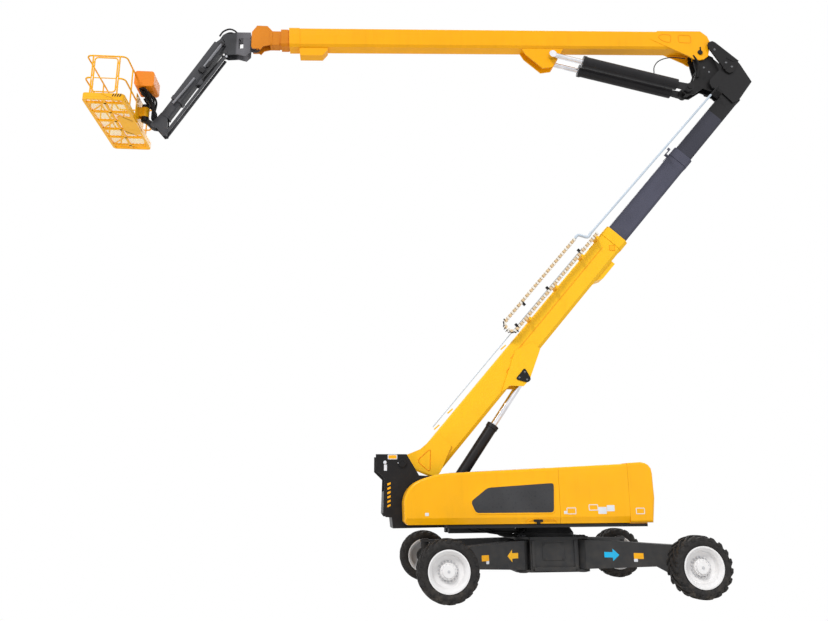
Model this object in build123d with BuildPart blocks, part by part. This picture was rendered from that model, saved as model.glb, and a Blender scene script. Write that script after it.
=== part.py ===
from build123d import *
import os
from math import cos, sin, radians, hypot, atan2, degrees, pi

# Articulating boom lift on four swing-out legs.
# Frame: origin on the ground under the slewing axis, +X towards the counterweight,
# -X towards the foot of the tower boom, +Z up. Both booms lie in the plane Y = 0.
# Millimetres throughout.

# ---------------------------------------------------------------- driving sizes
seat = 0.3                     # gap between faces that slide or turn on each other
move_gap = 5.0                 # gap between panels that swing past each other

tyre_radius = 575.0
tyre_width = 445.0
rim_radius = 362.0
wheel_x = 2380.0
wheel_y = 2275.0
wheel_z = tyre_radius

leg_pin_x = 620.0
leg_pin_y = 670.0
king_pin_inset = tyre_width / 2 + 130.0
leg_top = 1030.0
leg_bottom = 462.0
leg_tip_top = 950.0
leg_tip_bottom = 560.0
leg_root_half = 190.0
leg_tip_half = 112.0
leg_wall = 16.0

block_half_x = 500.0
block_half_y = 850.0
block_bottom = 400.0
block_top = 1090.0
ear_thick = 48.0

slew_radius = 640.0
slew_top = 1285.0
deck_bottom = slew_top
deck_top = 1345.0

hood_out = 1250.0              # outer face of the covers, from the centre plane
hood_in = 620.0
hood_bottom = 1360.0
hood_wall = 22.0
bevel_drop = 130.0
seam_front_x = 60.0
seam_rear_x = 1510.0
tail_x = 2050.0

pedestal_face = 520.0          # inner faces of the two pedestal plates
pedestal_plate = 32.0
slot_half = 450.0              # half width of the slot that the stowed tower lies in

tower_pivot_x = -3068.0
tower_pivot_z = 2597.0
tower_angle = 49.3             # slope of the tower at rest
tower_drop = 430.0             # from the pivot down to the tower's own axis
tower_width = 500.0
tower_depth = 590.0
tower_start = 450.0
tower_end = 7410.0
tower_wall = 14.0
mid_width = 424.0
mid_depth = 514.0
mid_end = 10266.0
mid_length = 7200.0
mid_wall = 12.0
fly_width = 380.0
fly_depth = 460.0
fly_end = 12560.0
fly_length = 7500.0
fly_wall = 12.0

knuckle_x = 4950.0             # pin that carries the upright on the tower's head
knuckle_z = 12070.0
upper_pivot_x = 4634.0
upper_pivot_z = 12940.0
upper_slope = 2.3              # the upper boom droops this much towards its tip
upper_rise = 418.0             # from its pivot up to the upper boom's axis
upper_width = 360.0
upper_depth = 500.0
upper_tip = 10430.0            # from the pivot along the boom to the end of the base tube
upper_wall = 12.0
upper_mid_width = 300.0
upper_mid_depth = 440.0
upper_fly_width = 250.0
upper_fly_depth = 390.0

foot_pin_x = 4286.0            # foot of the two cylinders under the upper boom
foot_pin_z = 11950.0
rod_pin_x = 791.0
rod_pin_z = 12735.0
twin_spread = 200.0
twin_radius = 140.0
twin_rod_radius = 62.0
twin_barrel_length = 2470.0
twin_foot = 330.0               # from the foot pin to the barrel

lift_pin_x = -280.0            # rod eye of the tower's lift cylinder, in the tower's lug
lift_pin_z = 4510.0
lift_foot_x = -2380.0
lift_foot_z = 1480.0
lift_radius = 125.0
lift_rod_radius = 75.0
lift_barrel_length = 2330.0

jib_pivot_x = -7310.0
jib_pivot_z = 12880.0
jib_slope = 59.6               # below the horizontal, at rest
jib_outer_width = 250.0
jib_outer_depth = 270.0
jib_inner_width = 210.0
jib_inner_depth = 225.0
jib_outer_length = 2080.0
jib_inner_end = 2560.0
jib_wall = 10.0

level_pin_x = -8905.0          # the platform's levelling pivot at the jib's tip
level_pin_z = 10480.0
turn_x = -9130.0               # axis that the platform turns on
basket_in = -9272.0
basket_deep = 910.0
basket_half = 1220.0
basket_floor = 10470.0
floor_thick = 50.0
rail_height = 1100.0
rail_radius = 19.0

os.makedirs("parts", exist_ok=True)


def save(piece, label):
    """Label a finished part and write it under its own name."""
    piece.part.label = label
    export_step(piece.part, "parts/" + label + ".step")


def outline(plane, points):
    """A closed face with straight edges on a plane."""
    with BuildSketch(plane) as shape:
        with BuildLine():
            Polyline(*points, close=True)
        make_face()
    return shape.sketch


def boom_section(plane, width, depth):
    """The folded section of a boom tube: upright upper sides, a crease, then a slight taper and bevels."""
    half = width / 2
    side = [
        (half - 0.06 * width, depth / 2),
        (half, depth / 2 - 0.05 * depth),
        (half, 0.10 * depth),
        (0.48 * width, -0.38 * depth),
        (0.38 * width, -depth / 2),
    ]
    points = side + [(-x, y) for x, y in reversed(side)]
    return outline(plane, points)


def grown(face, amount):
    """The same outline moved outwards by an even amount."""
    return offset(face, amount=amount, kind=Kind.INTERSECTION, mode=Mode.PRIVATE)


def side_plane(x, z, angle, way=1):
    """The plane of a boom with its pivot at (x, z): local x runs along it, local y is above it.
    way is 1 for a boom that runs towards +X and -1 for one that runs towards -X; angle is its rise."""
    run = (way * cos(radians(angle)), 0, sin(radians(angle)))
    return Plane(origin=(x, 0, z), x_dir=run, z_dir=(0, -way, 0))


def cross_plane(side, along, above):
    """A plane square across a boom, a given way along it and above its pivot."""
    return Plane(origin=side.from_local_coords((along, above, 0)), x_dir=-side.z_dir, z_dir=side.x_dir)


def slab(plane, points, near, far):
    """A plate with a straight-edged outline, between two distances from the middle plane."""
    return extrude(outline(plane.offset(near), points), amount=far - near, mode=Mode.PRIVATE)


def cross_pin(x, z, radius, half):
    """A round pin or tube through the middle plane, along Y."""
    return Pos(x, 0, z) * Rot(90, 0, 0) * Cylinder(radius, 2 * half, mode=Mode.PRIVATE)


# ---------------------------------------------------------------- chassis
tower_side = side_plane(tower_pivot_x, tower_pivot_z, tower_angle)
upper_side = side_plane(upper_pivot_x, upper_pivot_z, -upper_slope, way=-1)
jib_side = side_plane(jib_pivot_x, jib_pivot_z, -jib_slope, way=-1)

# The middle block is a deep box between two thick plates that reach round the pins of the legs.
ear_reach = 150.0
with BuildPart() as chassis_block:
    with BuildSketch(Plane.XY.offset(block_bottom)):
        Rectangle(2 * block_half_x, 2 * block_half_y)
    extrude(amount=block_top - block_bottom)
    for level in (block_bottom, block_top - ear_thick):
        with BuildSketch(Plane.XY.offset(level)):
            with GridLocations(2 * leg_pin_x, 2 * leg_pin_y, 2, 2):
                Circle(ear_reach)
            make_hull()
        extrude(amount=ear_thick)
save(chassis_block, "chassis_block")

ring_step = 60.0
with BuildPart() as slew_ring:
    with BuildSketch(Plane.XY.offset(block_top)):
        Circle(slew_radius)
    extrude(amount=ring_step)
    with BuildSketch(Plane.XY.offset(block_top + ring_step)):
        Circle(slew_radius)
    with BuildSketch(Plane.XY.offset(slew_top)):
        Circle(slew_radius - 90)
    loft()
save(slew_ring, "slew_ring")

# ---------------------------------------------------------------- legs, knuckles and wheels
king_y = wheel_y - king_pin_inset
leg_run = hypot(wheel_x - leg_pin_x, king_y - leg_pin_y)
leg_turn = degrees(atan2(king_y - leg_pin_y, wheel_x - leg_pin_x))
root_radius = 112.0
fork_reach = 190.0             # from the king pin back to the closed end of the leg
fork_plate = 50.0
fork_bottom = 395.0
knuckle_radius = 92.0
hub_start = 142.0              # from the king pin out to the drum of the hub
hub_radius = 168.0
neck_radius = 100.0
disc_face = 20.0               # inner face of the rim's disc, outwards of the wheel's middle

# columns: name, side along X, side along Y
corners = [
    ("near_right", 1, -1),
    ("near_left", -1, -1),
    ("far_right", 1, 1),
    ("far_left", -1, 1),
]

for corner, sx, sy in corners:
    pin_frame = Plane(origin=(sx * leg_pin_x, sy * leg_pin_y, 0),
                      x_dir=(sx * cos(radians(leg_turn)), sy * sin(radians(leg_turn)), 0), z_dir=(0, 0, 1))
    leg_side = Plane(origin=pin_frame.origin, x_dir=pin_frame.x_dir,
                     z_dir=(pin_frame.x_dir.Y, -pin_frame.x_dir.X, 0))
    body_end = leg_run - fork_reach
    ear_low = block_bottom + ear_thick + seat
    ear_high = block_top - ear_thick - seat

    with BuildPart() as leg:
        # plan of the box, full height
        with BuildSketch(pin_frame.offset(fork_bottom)):
            Circle(root_radius)
            with BuildLine():
                Polyline((150, leg_root_half), (leg_run - 650, leg_tip_half), (leg_run, leg_tip_half),
                         (leg_run, -leg_tip_half), (leg_run - 650, -leg_tip_half), (150, -leg_root_half),
                         close=True)
            make_face()
            make_hull()
            with Locations((leg_run, 0)):
                Circle(leg_tip_half)
        extrude(amount=ear_high - fork_bottom)
        # side of the box, tapered, with the fork's drop below its tip
        side_face = outline(leg_side.offset(-300), [
            (-root_radius, ear_low), (-root_radius, ear_high), (0, leg_top), (body_end, leg_tip_top),
            (leg_run + leg_tip_half, leg_tip_top), (leg_run + leg_tip_half, fork_bottom),
            (leg_run - 330, fork_bottom), (leg_run - 620, leg_tip_bottom - 15), (leg_root_half, leg_bottom)])
        extrude(side_face, amount=600, mode=Mode.INTERSECT)
        # mouth of the fork
        with BuildSketch(pin_frame.offset(fork_bottom + fork_plate)):
            with Locations((leg_run, 0)):
                Rectangle(2 * fork_reach, 4 * leg_tip_half)
        extrude(amount=leg_tip_top - fork_bottom - 2 * fork_plate, mode=Mode.SUBTRACT)
    save(leg, "leg_" + corner)

    with BuildPart() as knuckle:
        with BuildSketch(Plane.XY.offset(fork_bottom + fork_plate + seat)):
            with Locations((sx * wheel_x, sy * king_y)):
                Circle(knuckle_radius)
        extrude(amount=leg_tip_top - fork_bottom - 2 * fork_plate - 2 * seat)
        hub_plane = Plane(origin=(sx * wheel_x, sy * king_y, wheel_z), x_dir=(1, 0, 0), z_dir=(0, sy, 0))
        with BuildSketch(hub_plane):
            Circle(neck_radius)
        extrude(amount=hub_start)
        with BuildSketch(hub_plane.offset(hub_start)):
            Circle(hub_radius)
        extrude(amount=king_pin_inset + disc_face - hub_start - seat)
    save(knuckle, "knuckle_" + corner)

    wheel_plane = Plane(origin=(sx * wheel_x, sy * wheel_y, wheel_z), x_dir=(1, 0, 0), z_dir=(0, sy, 0))
    wheel_axis = Axis(wheel_plane.origin, wheel_plane.z_dir)
    radial = Plane(origin=wheel_plane.origin, x_dir=(1, 0, 0), z_dir=(0, 0, sy))

    # Rim: a deep dish with stepped bead seats, a disc set back and a round hub cap.
    half = tyre_width / 2
    with BuildPart() as rim:
        with BuildSketch(radial):
            with BuildLine():
                Polyline(
                    (0, disc_face), (rim_radius - 60, disc_face), (rim_radius - 46, -half + 60),
                    (rim_radius - 14, -half + 30), (rim_radius, -half + 6), (rim_radius + 23, -half + 7),
                    (rim_radius + 23, -half + 13), (rim_radius + 12, -half + 16),
                    (rim_radius, -half + 40), (rim_radius - 12, -half + 60), (rim_radius - 12, half - 60),
                    (rim_radius, half - 40), (rim_radius + 12, half - 16), (rim_radius + 23, half - 13),
                    (rim_radius + 23, half - 7), (rim_radius, half - 6),
                    (rim_radius - 20, half - 30), (rim_radius - 52, half - 70), (rim_radius - 80, disc_face + 40),
                    (205, disc_face + 22), (150, disc_face + 30), (150, disc_face + 95), (120, disc_face + 105),
                    (110, disc_face + 135), (0, disc_face + 140), close=True)
            make_face()
        revolve(axis=wheel_axis)
    save(rim, "rim_" + corner)

    with BuildPart() as tyre:
        with BuildSketch(radial):
            with BuildLine():
                Polyline(
                    (rim_radius - 11.6, -half + 60), (rim_radius + 0.4, -half + 40), (rim_radius + 14, -half + 22),
                    (rim_radius + 90, -half), (tyre_radius - 60, -half + 4), (tyre_radius - 6, -half + 30),
                    (tyre_radius, -half + 70), (tyre_radius, half - 70), (tyre_radius - 6, half - 30),
                    (tyre_radius - 60, half - 4), (rim_radius + 90, half), (rim_radius + 14, half - 22),
                    (rim_radius + 0.4, half - 40), (rim_radius - 11.6, half - 60), close=True)
            make_face()
        revolve(axis=wheel_axis)
    save(tyre, "tyre_" + corner)

# ---------------------------------------------------------------- turntable
deck_front = -2230.0
deck_rear = 1890.0
deck_half = 1150.0
rail_plate = 20.0
hinge_radius = 10.0
hinge_lift = 12.0              # hinge line of the front covers, above their roof
hinge_side = hood_in + 2.0
lift_slot_half = 176.0         # slot that the lift cylinder's foot swings in
lift_slot_front = -2510.0
lift_slot_rear = -1240.0
belly_low = 1165.0
roof_start = (-2170.0, 2365.0)
roof_end = (1540.0, 2540.0)


def roof_height(x):
    """Height of the straight part of the covers' roof."""
    return roof_start[1] + (x - roof_start[0]) * (roof_end[1] - roof_start[1]) / (roof_end[0] - roof_start[0])


# Two long frame plates stand on the deck and carry the pedestal, the covers and the counterweight.
with BuildPart() as turntable_deck:
    with BuildSketch(Plane.XY.offset(deck_bottom + seat)):
        with Locations(((deck_front + deck_rear) / 2, 0)):
            Rectangle(deck_rear - deck_front, 2 * deck_half)
        with Locations(((deck_front + lift_slot_rear) / 2, 0)):
            Rectangle(lift_slot_rear - deck_front, 2 * lift_slot_half, mode=Mode.SUBTRACT)
    extrude(amount=deck_top - deck_bottom - seat)
    for side in (-1, 1):
        with BuildSketch(Plane.XZ.offset(side * (hood_in - seat - rail_plate / 2) - rail_plate / 2)):
            with BuildLine():
                Polyline((deck_front, deck_top), (deck_front, 2352), (roof_start[0], roof_start[1] + 8),
                         (seam_rear_x - 10, roof_height(seam_rear_x - 10) + 8), (seam_rear_x - 10, deck_top),
                         close=True)
            make_face()
        extrude(amount=rail_plate)
        # hinge tube of the front cover, along the top of the plate
        hinge_from = Vector(roof_start[0] + 60, side * hinge_side, roof_height(roof_start[0] + 60) + hinge_lift)
        hinge_to = Vector(-40, side * hinge_side, roof_height(-40) + hinge_lift)
        with BuildSketch(Plane(origin=hinge_from, x_dir=(0, 1, 0), z_dir=hinge_to - hinge_from)):
            Circle(hinge_radius)
        extrude(amount=(hinge_to - hinge_from).length)
        # hoses and valves hang under the deck, beside the slot
        add(Pos(-1400, side * 310, (belly_low + deck_bottom + 10) / 2) * Box(
            1400, 240, deck_bottom + 10 - belly_low, mode=Mode.PRIVATE))
save(turntable_deck, "turntable_deck")

lift_lug_in = 170.0
pedestal_outline = [
    (-3640, 2787), (-2990, 2785), (-2730, 2346), (-1900, 2300), (-1250, 1700), (-1250, deck_top),
    (-2236, deck_top), (-2236, 1290), (-3280, 1280), (-3305, 1497), (-3430, 1506), (-3484, 1578), (-3460, 2286),
    (-3640, 2460)]
with BuildPart() as pedestal:
    for side in (-1, 1):
        start = pedestal_face if side > 0 else -pedestal_face - pedestal_plate
        add(slab(Plane.XZ, pedestal_outline, start, start + pedestal_plate))
    # front plate and floor between the two sides
    add(slab(Plane.XZ, [(-3305, 1497), (-3280, 1280), (-2236, 1290), (-2236, 1330), (-3240, 1320), (-3265, 1497)],
             -pedestal_face, pedestal_face))
    add(slab(Plane.XZ, [(-3484, 1578), (-3444, 1578), (-3430, 2030), (-3470, 2030)], -pedestal_face, pedestal_face))
    add(Pos((lift_slot_front - 2230) / 2, 0, 1310) * Box(
        -2230 - lift_slot_front, 2 * lift_slot_half, 100, mode=Mode.PRIVATE), mode=Mode.SUBTRACT)
    # lugs on the floor, beside the foot of the lift cylinder
    for near in (-lift_lug_in - 30, lift_lug_in):
        add(slab(Plane.XZ, [(lift_foot_x - 80, 1325), (lift_foot_x + 80, 1325), (lift_foot_x + 60, lift_foot_z + 65),
                            (lift_foot_x - 60, lift_foot_z + 65)], near, near + 30))
save(pedestal, "pedestal")

nose = (-3085.0, 1425.0)
nose_top = (-3098.0, 1753.0)
nose_arc = (-2992.0, 2068.0)
brow = (-2780.0, 2230.0)
brow_mid = (-2480.0, 2325.0)


def cover_profile(plane, low):
    """Side view of the covers, from the round nose to past the rear seam, down to a given height."""
    with BuildSketch(plane) as shape:
        with BuildLine():
            foot = (nose[0] + 60, low)
            Line(foot, (nose[0] + 60, hood_bottom))
            Line((nose[0] + 60, hood_bottom), nose)
            Line(nose, nose_top)
            ThreePointArc(nose_top, nose_arc, brow)
            ThreePointArc(brow, brow_mid, roof_start)
            Line(roof_start, roof_end)
            Line(roof_end, (roof_end[0], low))
            Line((roof_end[0], low), foot)
        make_face()
    return shape.sketch


def cover(side, from_x, to_x):
    """One hollow cover between two seams: outer side, roof and nose, open below and inwards."""
    with BuildPart() as shell:
        extrude(cover_profile(Plane.XZ.offset(hood_in), hood_bottom - 100), amount=hood_out - hood_in)
        top_edges = shell.faces().sort_by(Axis.Y)[0].edges().filter_by(lambda e: e.center().Z > 1500)
        top_edges = top_edges.filter_by(lambda e: e.center().X < roof_end[0] - 1)
        fillet(top_edges, radius=55)
        # the lower edge is turned in
        with BuildSketch(Plane.YZ.offset(nose_top[0] - 200)):
            with BuildLine():
                Polyline((-hood_out - 1, hood_bottom + bevel_drop), (-hood_out - 1, hood_bottom - 101),
                         (-hood_out + 45, hood_bottom - 101), (-hood_out + 45, hood_bottom), close=True)
            make_face()
        extrude(amount=roof_end[0] - nose_top[0] + 400, mode=Mode.SUBTRACT)
        inner = grown(cover_profile(Plane.XZ.offset(hood_in - 1), hood_bottom - 200), -hood_wall)
        extrude(inner, amount=hood_out - hood_in - 60, mode=Mode.SUBTRACT)
        upper = Pos(0, 0, hood_bottom + bevel_drop + 500) * Box(9000, 3000, 1000, mode=Mode.PRIVATE)
        pocket = extrude(inner, amount=hood_out - hood_in + 1 - hood_wall, mode=Mode.PRIVATE) & upper
        add(pocket, mode=Mode.SUBTRACT)
        window = Pos((from_x + to_x) / 2, -hood_out, hood_bottom + 1000) * Box(
            to_x - from_x, 3000, 2000, mode=Mode.PRIVATE)
        add(window, mode=Mode.INTERSECT)
        if side > 0:
            whole = mirror(shell.part, about=Plane.XZ, mode=Mode.PRIVATE)
            add(whole, mode=Mode.REPLACE)
    return shell


# columns: name, side along Y, from X, to X
covers = [
    ("cover_near_front", -1, nose_top[0] - 100, seam_front_x - move_gap / 2),
    ("cover_far_front", 1, nose_top[0] - 100, seam_front_x - move_gap / 2),
    ("cover_near_rear", -1, seam_front_x + move_gap / 2, seam_rear_x - 2),
    ("cover_far_rear", 1, seam_front_x + move_gap / 2, seam_rear_x - 2),
]
for cover_name, side, from_x, to_x in covers:
    save(cover(side, from_x, to_x), cover_name)

# Counterweight: one heavy casting across the tail, with a slot for the stowed tower.
tail_outline = [(seam_rear_x + 2, hood_bottom), (tail_x - 60, hood_bottom), (tail_x, 1840), (tail_x - 6, 2330),
                (tail_x - 24, 2440), (tail_x - 80, 2515), (tail_x - 150, 2552), (tail_x - 230, 2570),
                (seam_rear_x + 2, 2552)]
with BuildPart() as counterweight:
    add(slab(Plane.XZ, tail_outline, -hood_out, hood_out))
    slot = Pos(seam_rear_x + 300, 0, 1800 + 600) * Box(1000, 2 * slot_half, 1200, mode=Mode.PRIVATE)
    add(slot, mode=Mode.SUBTRACT)
    foot = Pos((seam_rear_x + deck_rear) / 2 + 1, 0, (deck_top + hood_bottom) / 2) * Box(
        deck_rear - seam_rear_x - 2, 2 * deck_half, hood_bottom - deck_top, mode=Mode.PRIVATE)
    add(foot)
    corner_edges = counterweight.edges().filter_by(lambda e: abs(abs(e.center().Y) - hood_out) < 1
                                                   and e.center().X > tail_x - 400)
    fillet(corner_edges, radius=50)
save(counterweight, "counterweight")

with BuildPart() as engine_block:
    with BuildSketch(Plane.XY.offset(deck_top)):
        with Locations((-900, 880)):
            Rectangle(1100, 460)
    extrude(amount=620)
save(engine_block, "engine_block")

# ---------------------------------------------------------------- tower boom
axis_line = -tower_drop


def boom_tube(side, above, width, depth, wall, start, end, front_face, front_length, tail_face):
    """One telescoping section: tube, collar at its mouth that the next one slides in, tail pads."""
    section = boom_section(cross_plane(side, start, above), width, depth)
    with BuildPart() as tube:
        extrude(section, amount=end - start)
        mouth = boom_section(cross_plane(side, end - front_length, above), width, depth)
        extrude(grown(mouth, wall), amount=front_length)
        if tail_face is not None:
            extrude(tail_face, amount=tail_length)
        extrude(grown(section, -wall), amount=end - start - front_length, mode=Mode.SUBTRACT)
        extrude(front_face, amount=-front_length, mode=Mode.SUBTRACT)
    return tube


tail_length = 150.0
collar_length = 260.0

chain_half = 35.0
chain_low = -40.0
chain_high = 275.0
chain_near = 360.0
chain_far = 430.0
chain_bend = 3950.0
bar_high = chain_low - chain_half - seat
lug_outline = [(-850, 4150), (-667, 4296), (-345, 4286), (-199, 4446), (67, 5122), (-100, 5300), (-500, 5100)]
foot_ear = [(-130, -60), (-110, 70), (-30, 130), (60, 130), (500, -100), (1000, -180), (1000, -560), (420, -735),
            (330, -740), (250, -700), (60, -140), (-60, -130)]
ear_thick_tower = 32.0
with BuildPart() as tower_base:
    add(boom_tube(tower_side, axis_line, tower_width, tower_depth, tower_wall, tower_start, tower_end,
                  grown(boom_section(cross_plane(tower_side, tower_end, axis_line), mid_width, mid_depth), seat),
                  collar_length, None).part)
    add(slab(tower_side, foot_ear, tower_width / 2, tower_width / 2 + ear_thick_tower))
    add(slab(tower_side, foot_ear, -tower_width / 2 - ear_thick_tower, -tower_width / 2))
    add(slab(Plane.XZ, lug_outline, tower_width / 2, tower_width / 2 + ear_thick_tower))
    add(slab(Plane.XZ, lug_outline, -tower_width / 2 - ear_thick_tower, -tower_width / 2))
    # box below the mouth
    add(slab(tower_side, [(6136, -722), (6330, -828), (6808, -828), (6808, -722)], -170, 170))
    # a pivot stub on each ear, out to the pedestal's plates
    for way in (-1, 1):
        add(Pos(0, way * (pedestal_face - seat + tower_width / 2) / 2, 0) * cross_pin(
            tower_pivot_x, tower_pivot_z, 95, (pedestal_face - seat - tower_width / 2) / 2))
    # pin of the lift cylinder
    add(cross_pin(lift_pin_x, lift_pin_z, 55, tower_width / 2 + ear_thick_tower))
    # bars that the hose chain lies on, beside the boom
    bar_low = tower_depth / 2 - tower_drop - 2
    for along in (4300, 5300, 6300, 6900):
        add(slab(tower_side, [(along, bar_low), (along + 60, bar_low), (along + 60, bar_high), (along, bar_high)],
                 150, 225))
        add(slab(tower_side, [(along, bar_high - 60), (along + 60, bar_high - 60), (along + 60, bar_high),
                              (along, bar_high)], 150, chain_far))
save(tower_base, "tower_base")

with BuildPart() as tower_mid:
    add(boom_tube(tower_side, axis_line, mid_width, mid_depth, mid_wall, mid_end - mid_length, mid_end,
                  grown(boom_section(cross_plane(tower_side, mid_end, axis_line), fly_width, fly_depth), seat),
                  collar_length,
                  grown(boom_section(cross_plane(tower_side, mid_end - mid_length, axis_line),
                                     tower_width, tower_depth), -tower_wall - seat)).part)
    # guide under the hose conduit
    guide_low = mid_depth / 2 - tower_drop - 2
    for foot, top, near, far in [(guide_low, -80, 150, 186), (-106, -80, 150, 436), (-106, -36, 410, 436)]:
        add(slab(tower_side, [(9925, foot), (9985, foot), (9985, top), (9925, top)], near, far))
save(tower_mid, "tower_mid")

head_outline = [(4830, 12080), (4850, 12190), (5200, 12560), (5660, 12740), (5700, 12690), (5960, 12180),
                (5570, 11660), (5390, 11560), (5070, 11900), (4980, 11950), (4880, 11970)]
head_plate = 34.0
fly_half = fly_width / 2
# outer plates from the corner of the head up beside the upper boom's pivot
link_outline = [(4905, 13250), (5010, 13290), (5080, 13260), (5660, 12745), (5620, 12690), (5480, 12420),
                (5380, 12380), (5290, 12420), (4900, 13080), (4880, 13180)]
link_inner = fly_half + head_plate + 8
link_plate = 36.0
with BuildPart() as tower_fly:
    add(boom_tube(tower_side, axis_line, fly_width, fly_depth, fly_wall, fly_end - fly_length, fly_end,
                  grown(boom_section(cross_plane(tower_side, fly_end, axis_line), fly_width, fly_depth), -fly_wall),
                  50.0,
                  grown(boom_section(cross_plane(tower_side, fly_end - fly_length, axis_line),
                                     mid_width, mid_depth), -mid_wall - seat)).part)
    add(slab(Plane.XZ, head_outline, fly_half, fly_half + head_plate))
    add(slab(Plane.XZ, head_outline, -fly_half - head_plate, -fly_half))
    # end plate that ties the two sides of the head together
    add(slab(Plane.XZ, [(5960, 12180), (5570, 11660), (5540, 11690), (5925, 12200)], -fly_half, fly_half))
    # pin of the upright
    add(cross_pin(knuckle_x, knuckle_z, 60, fly_half + head_plate))
save(tower_fly, "tower_fly")

for side_name, way in (("near", -1), ("far", 1)):
    with BuildPart() as link_plates:
        start = link_inner if way < 0 else -link_inner - link_plate
        add(slab(Plane.XZ, link_outline, start, start + link_plate))
        add(Pos(0, way * (fly_half + head_plate + link_inner + link_plate) / 2, 0) * cross_pin(
            5450, 12560, 70, (link_inner + link_plate - fly_half - head_plate) / 2))
    save(link_plates, "link_plate_" + side_name)

# ---------------------------------------------------------------- lift cylinder of the tower
lift_run = hypot(lift_pin_x - lift_foot_x, lift_pin_z - lift_foot_z)
lift_angle = degrees(atan2(lift_pin_z - lift_foot_z, lift_pin_x - lift_foot_x))
lift_side = side_plane(lift_foot_x, lift_foot_z, lift_angle)
bore_gap = 1.0                 # between a rod and the mouth of its barrel


def barrel(side, start, length, radius, rod_radius, bore_radius, spread, head, bottom=60):
    """Cylinder barrels at plus and minus spread from the middle plane, open at the rod's end."""
    with BuildPart() as tubes:
        for offset_y in ((-spread, spread) if spread else (0,)):
            base = cross_plane(side, start, 0)
            shifted = Plane(origin=base.origin + Vector(0, offset_y, 0), x_dir=base.x_dir, z_dir=base.z_dir)
            with BuildSketch(shifted):
                Circle(radius)
            extrude(amount=length)
            with BuildSketch(shifted.offset(length - head)):
                Circle(radius + 14)
            extrude(amount=head)
            with BuildSketch(shifted.offset(bottom)):
                Circle(bore_radius)
            extrude(amount=length - bottom - head, mode=Mode.SUBTRACT)
            with BuildSketch(shifted.offset(length - head)):
                Circle(rod_radius + bore_gap)
            extrude(amount=head, mode=Mode.SUBTRACT)
    return tubes


def rod(side, start, end, radius, piston_radius, spread, piston=70):
    """Piston rods at plus and minus spread, with a piston at their inner end."""
    with BuildPart() as rods:
        for offset_y in ((-spread, spread) if spread else (0,)):
            base = cross_plane(side, start, 0)
            shifted = Plane(origin=base.origin + Vector(0, offset_y, 0), x_dir=base.x_dir, z_dir=base.z_dir)
            with BuildSketch(shifted):
                Circle(radius)
            extrude(amount=end - start)
            with BuildSketch(shifted):
                Circle(piston_radius)
            extrude(amount=piston)
    return rods


lift_rod_end = lift_run - 95
with BuildPart() as tower_lift_rod:
    add(rod(lift_side, lift_run - 2380, lift_rod_end, lift_rod_radius, lift_radius - 22, 0).part)
    eye = slab(lift_side, [(lift_run - 110, -80), (lift_run - 110, 80), (lift_run, 88), (lift_run, -88)], -120, 120)
    add(eye)
    add(cross_pin(lift_pin_x, lift_pin_z, 88, tower_width / 2 - 2))
    add(cross_pin(lift_pin_x, lift_pin_z, 55.8, tower_width / 2), mode=Mode.SUBTRACT)
save(tower_lift_rod, "tower_lift_rod")

with BuildPart() as tower_lift_barrel:
    add(barrel(lift_side, 70, lift_barrel_length, lift_radius, lift_rod_radius, lift_radius - 20, 0, 90).part)
    add(cross_pin(lift_foot_x, lift_foot_z, 85, lift_lug_in - seat))
save(tower_lift_barrel, "tower_lift_barrel")

# ---------------------------------------------------------------- upright between the two booms
upright_outer = 132.0
upright_plate = 34.0
upright_outline = [(4490, 13010), (4600, 13085), (4730, 13060), (5050, 12900), (5180, 12500), (5110, 12080),
                   (5040, 11960), (4900, 11935), (4700, 12000), (4400, 11800), (4230, 11815), (4150, 11900),
                   (4180, 12040), (4450, 12200), (4560, 12450), (4520, 12700)]
with BuildPart() as upright:
    for near in (-upright_outer, upright_outer - upright_plate):
        add(slab(Plane.XZ, upright_outline, near, near + upright_plate))
    # web between the two plates, and the tube that carries the feet of the twin cylinders
    add(slab(Plane.XZ, [(4560, 12430), (5120, 12430), (5120, 12490), (4560, 12490)], -upright_outer, upright_outer))
    add(slab(Plane.XZ, [(4230, 11830), (4330, 11830), (4620, 12000), (4600, 12040), (4300, 11880)],
             -upright_outer, upright_outer))
    add(cross_pin(foot_pin_x, foot_pin_z, 62, twin_spread + 70))
    add(cross_pin(knuckle_x, knuckle_z, 60.8, 400), mode=Mode.SUBTRACT)
    add(cross_pin(upper_pivot_x, upper_pivot_z, 60.8, 400), mode=Mode.SUBTRACT)
save(upright, "upright")

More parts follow.
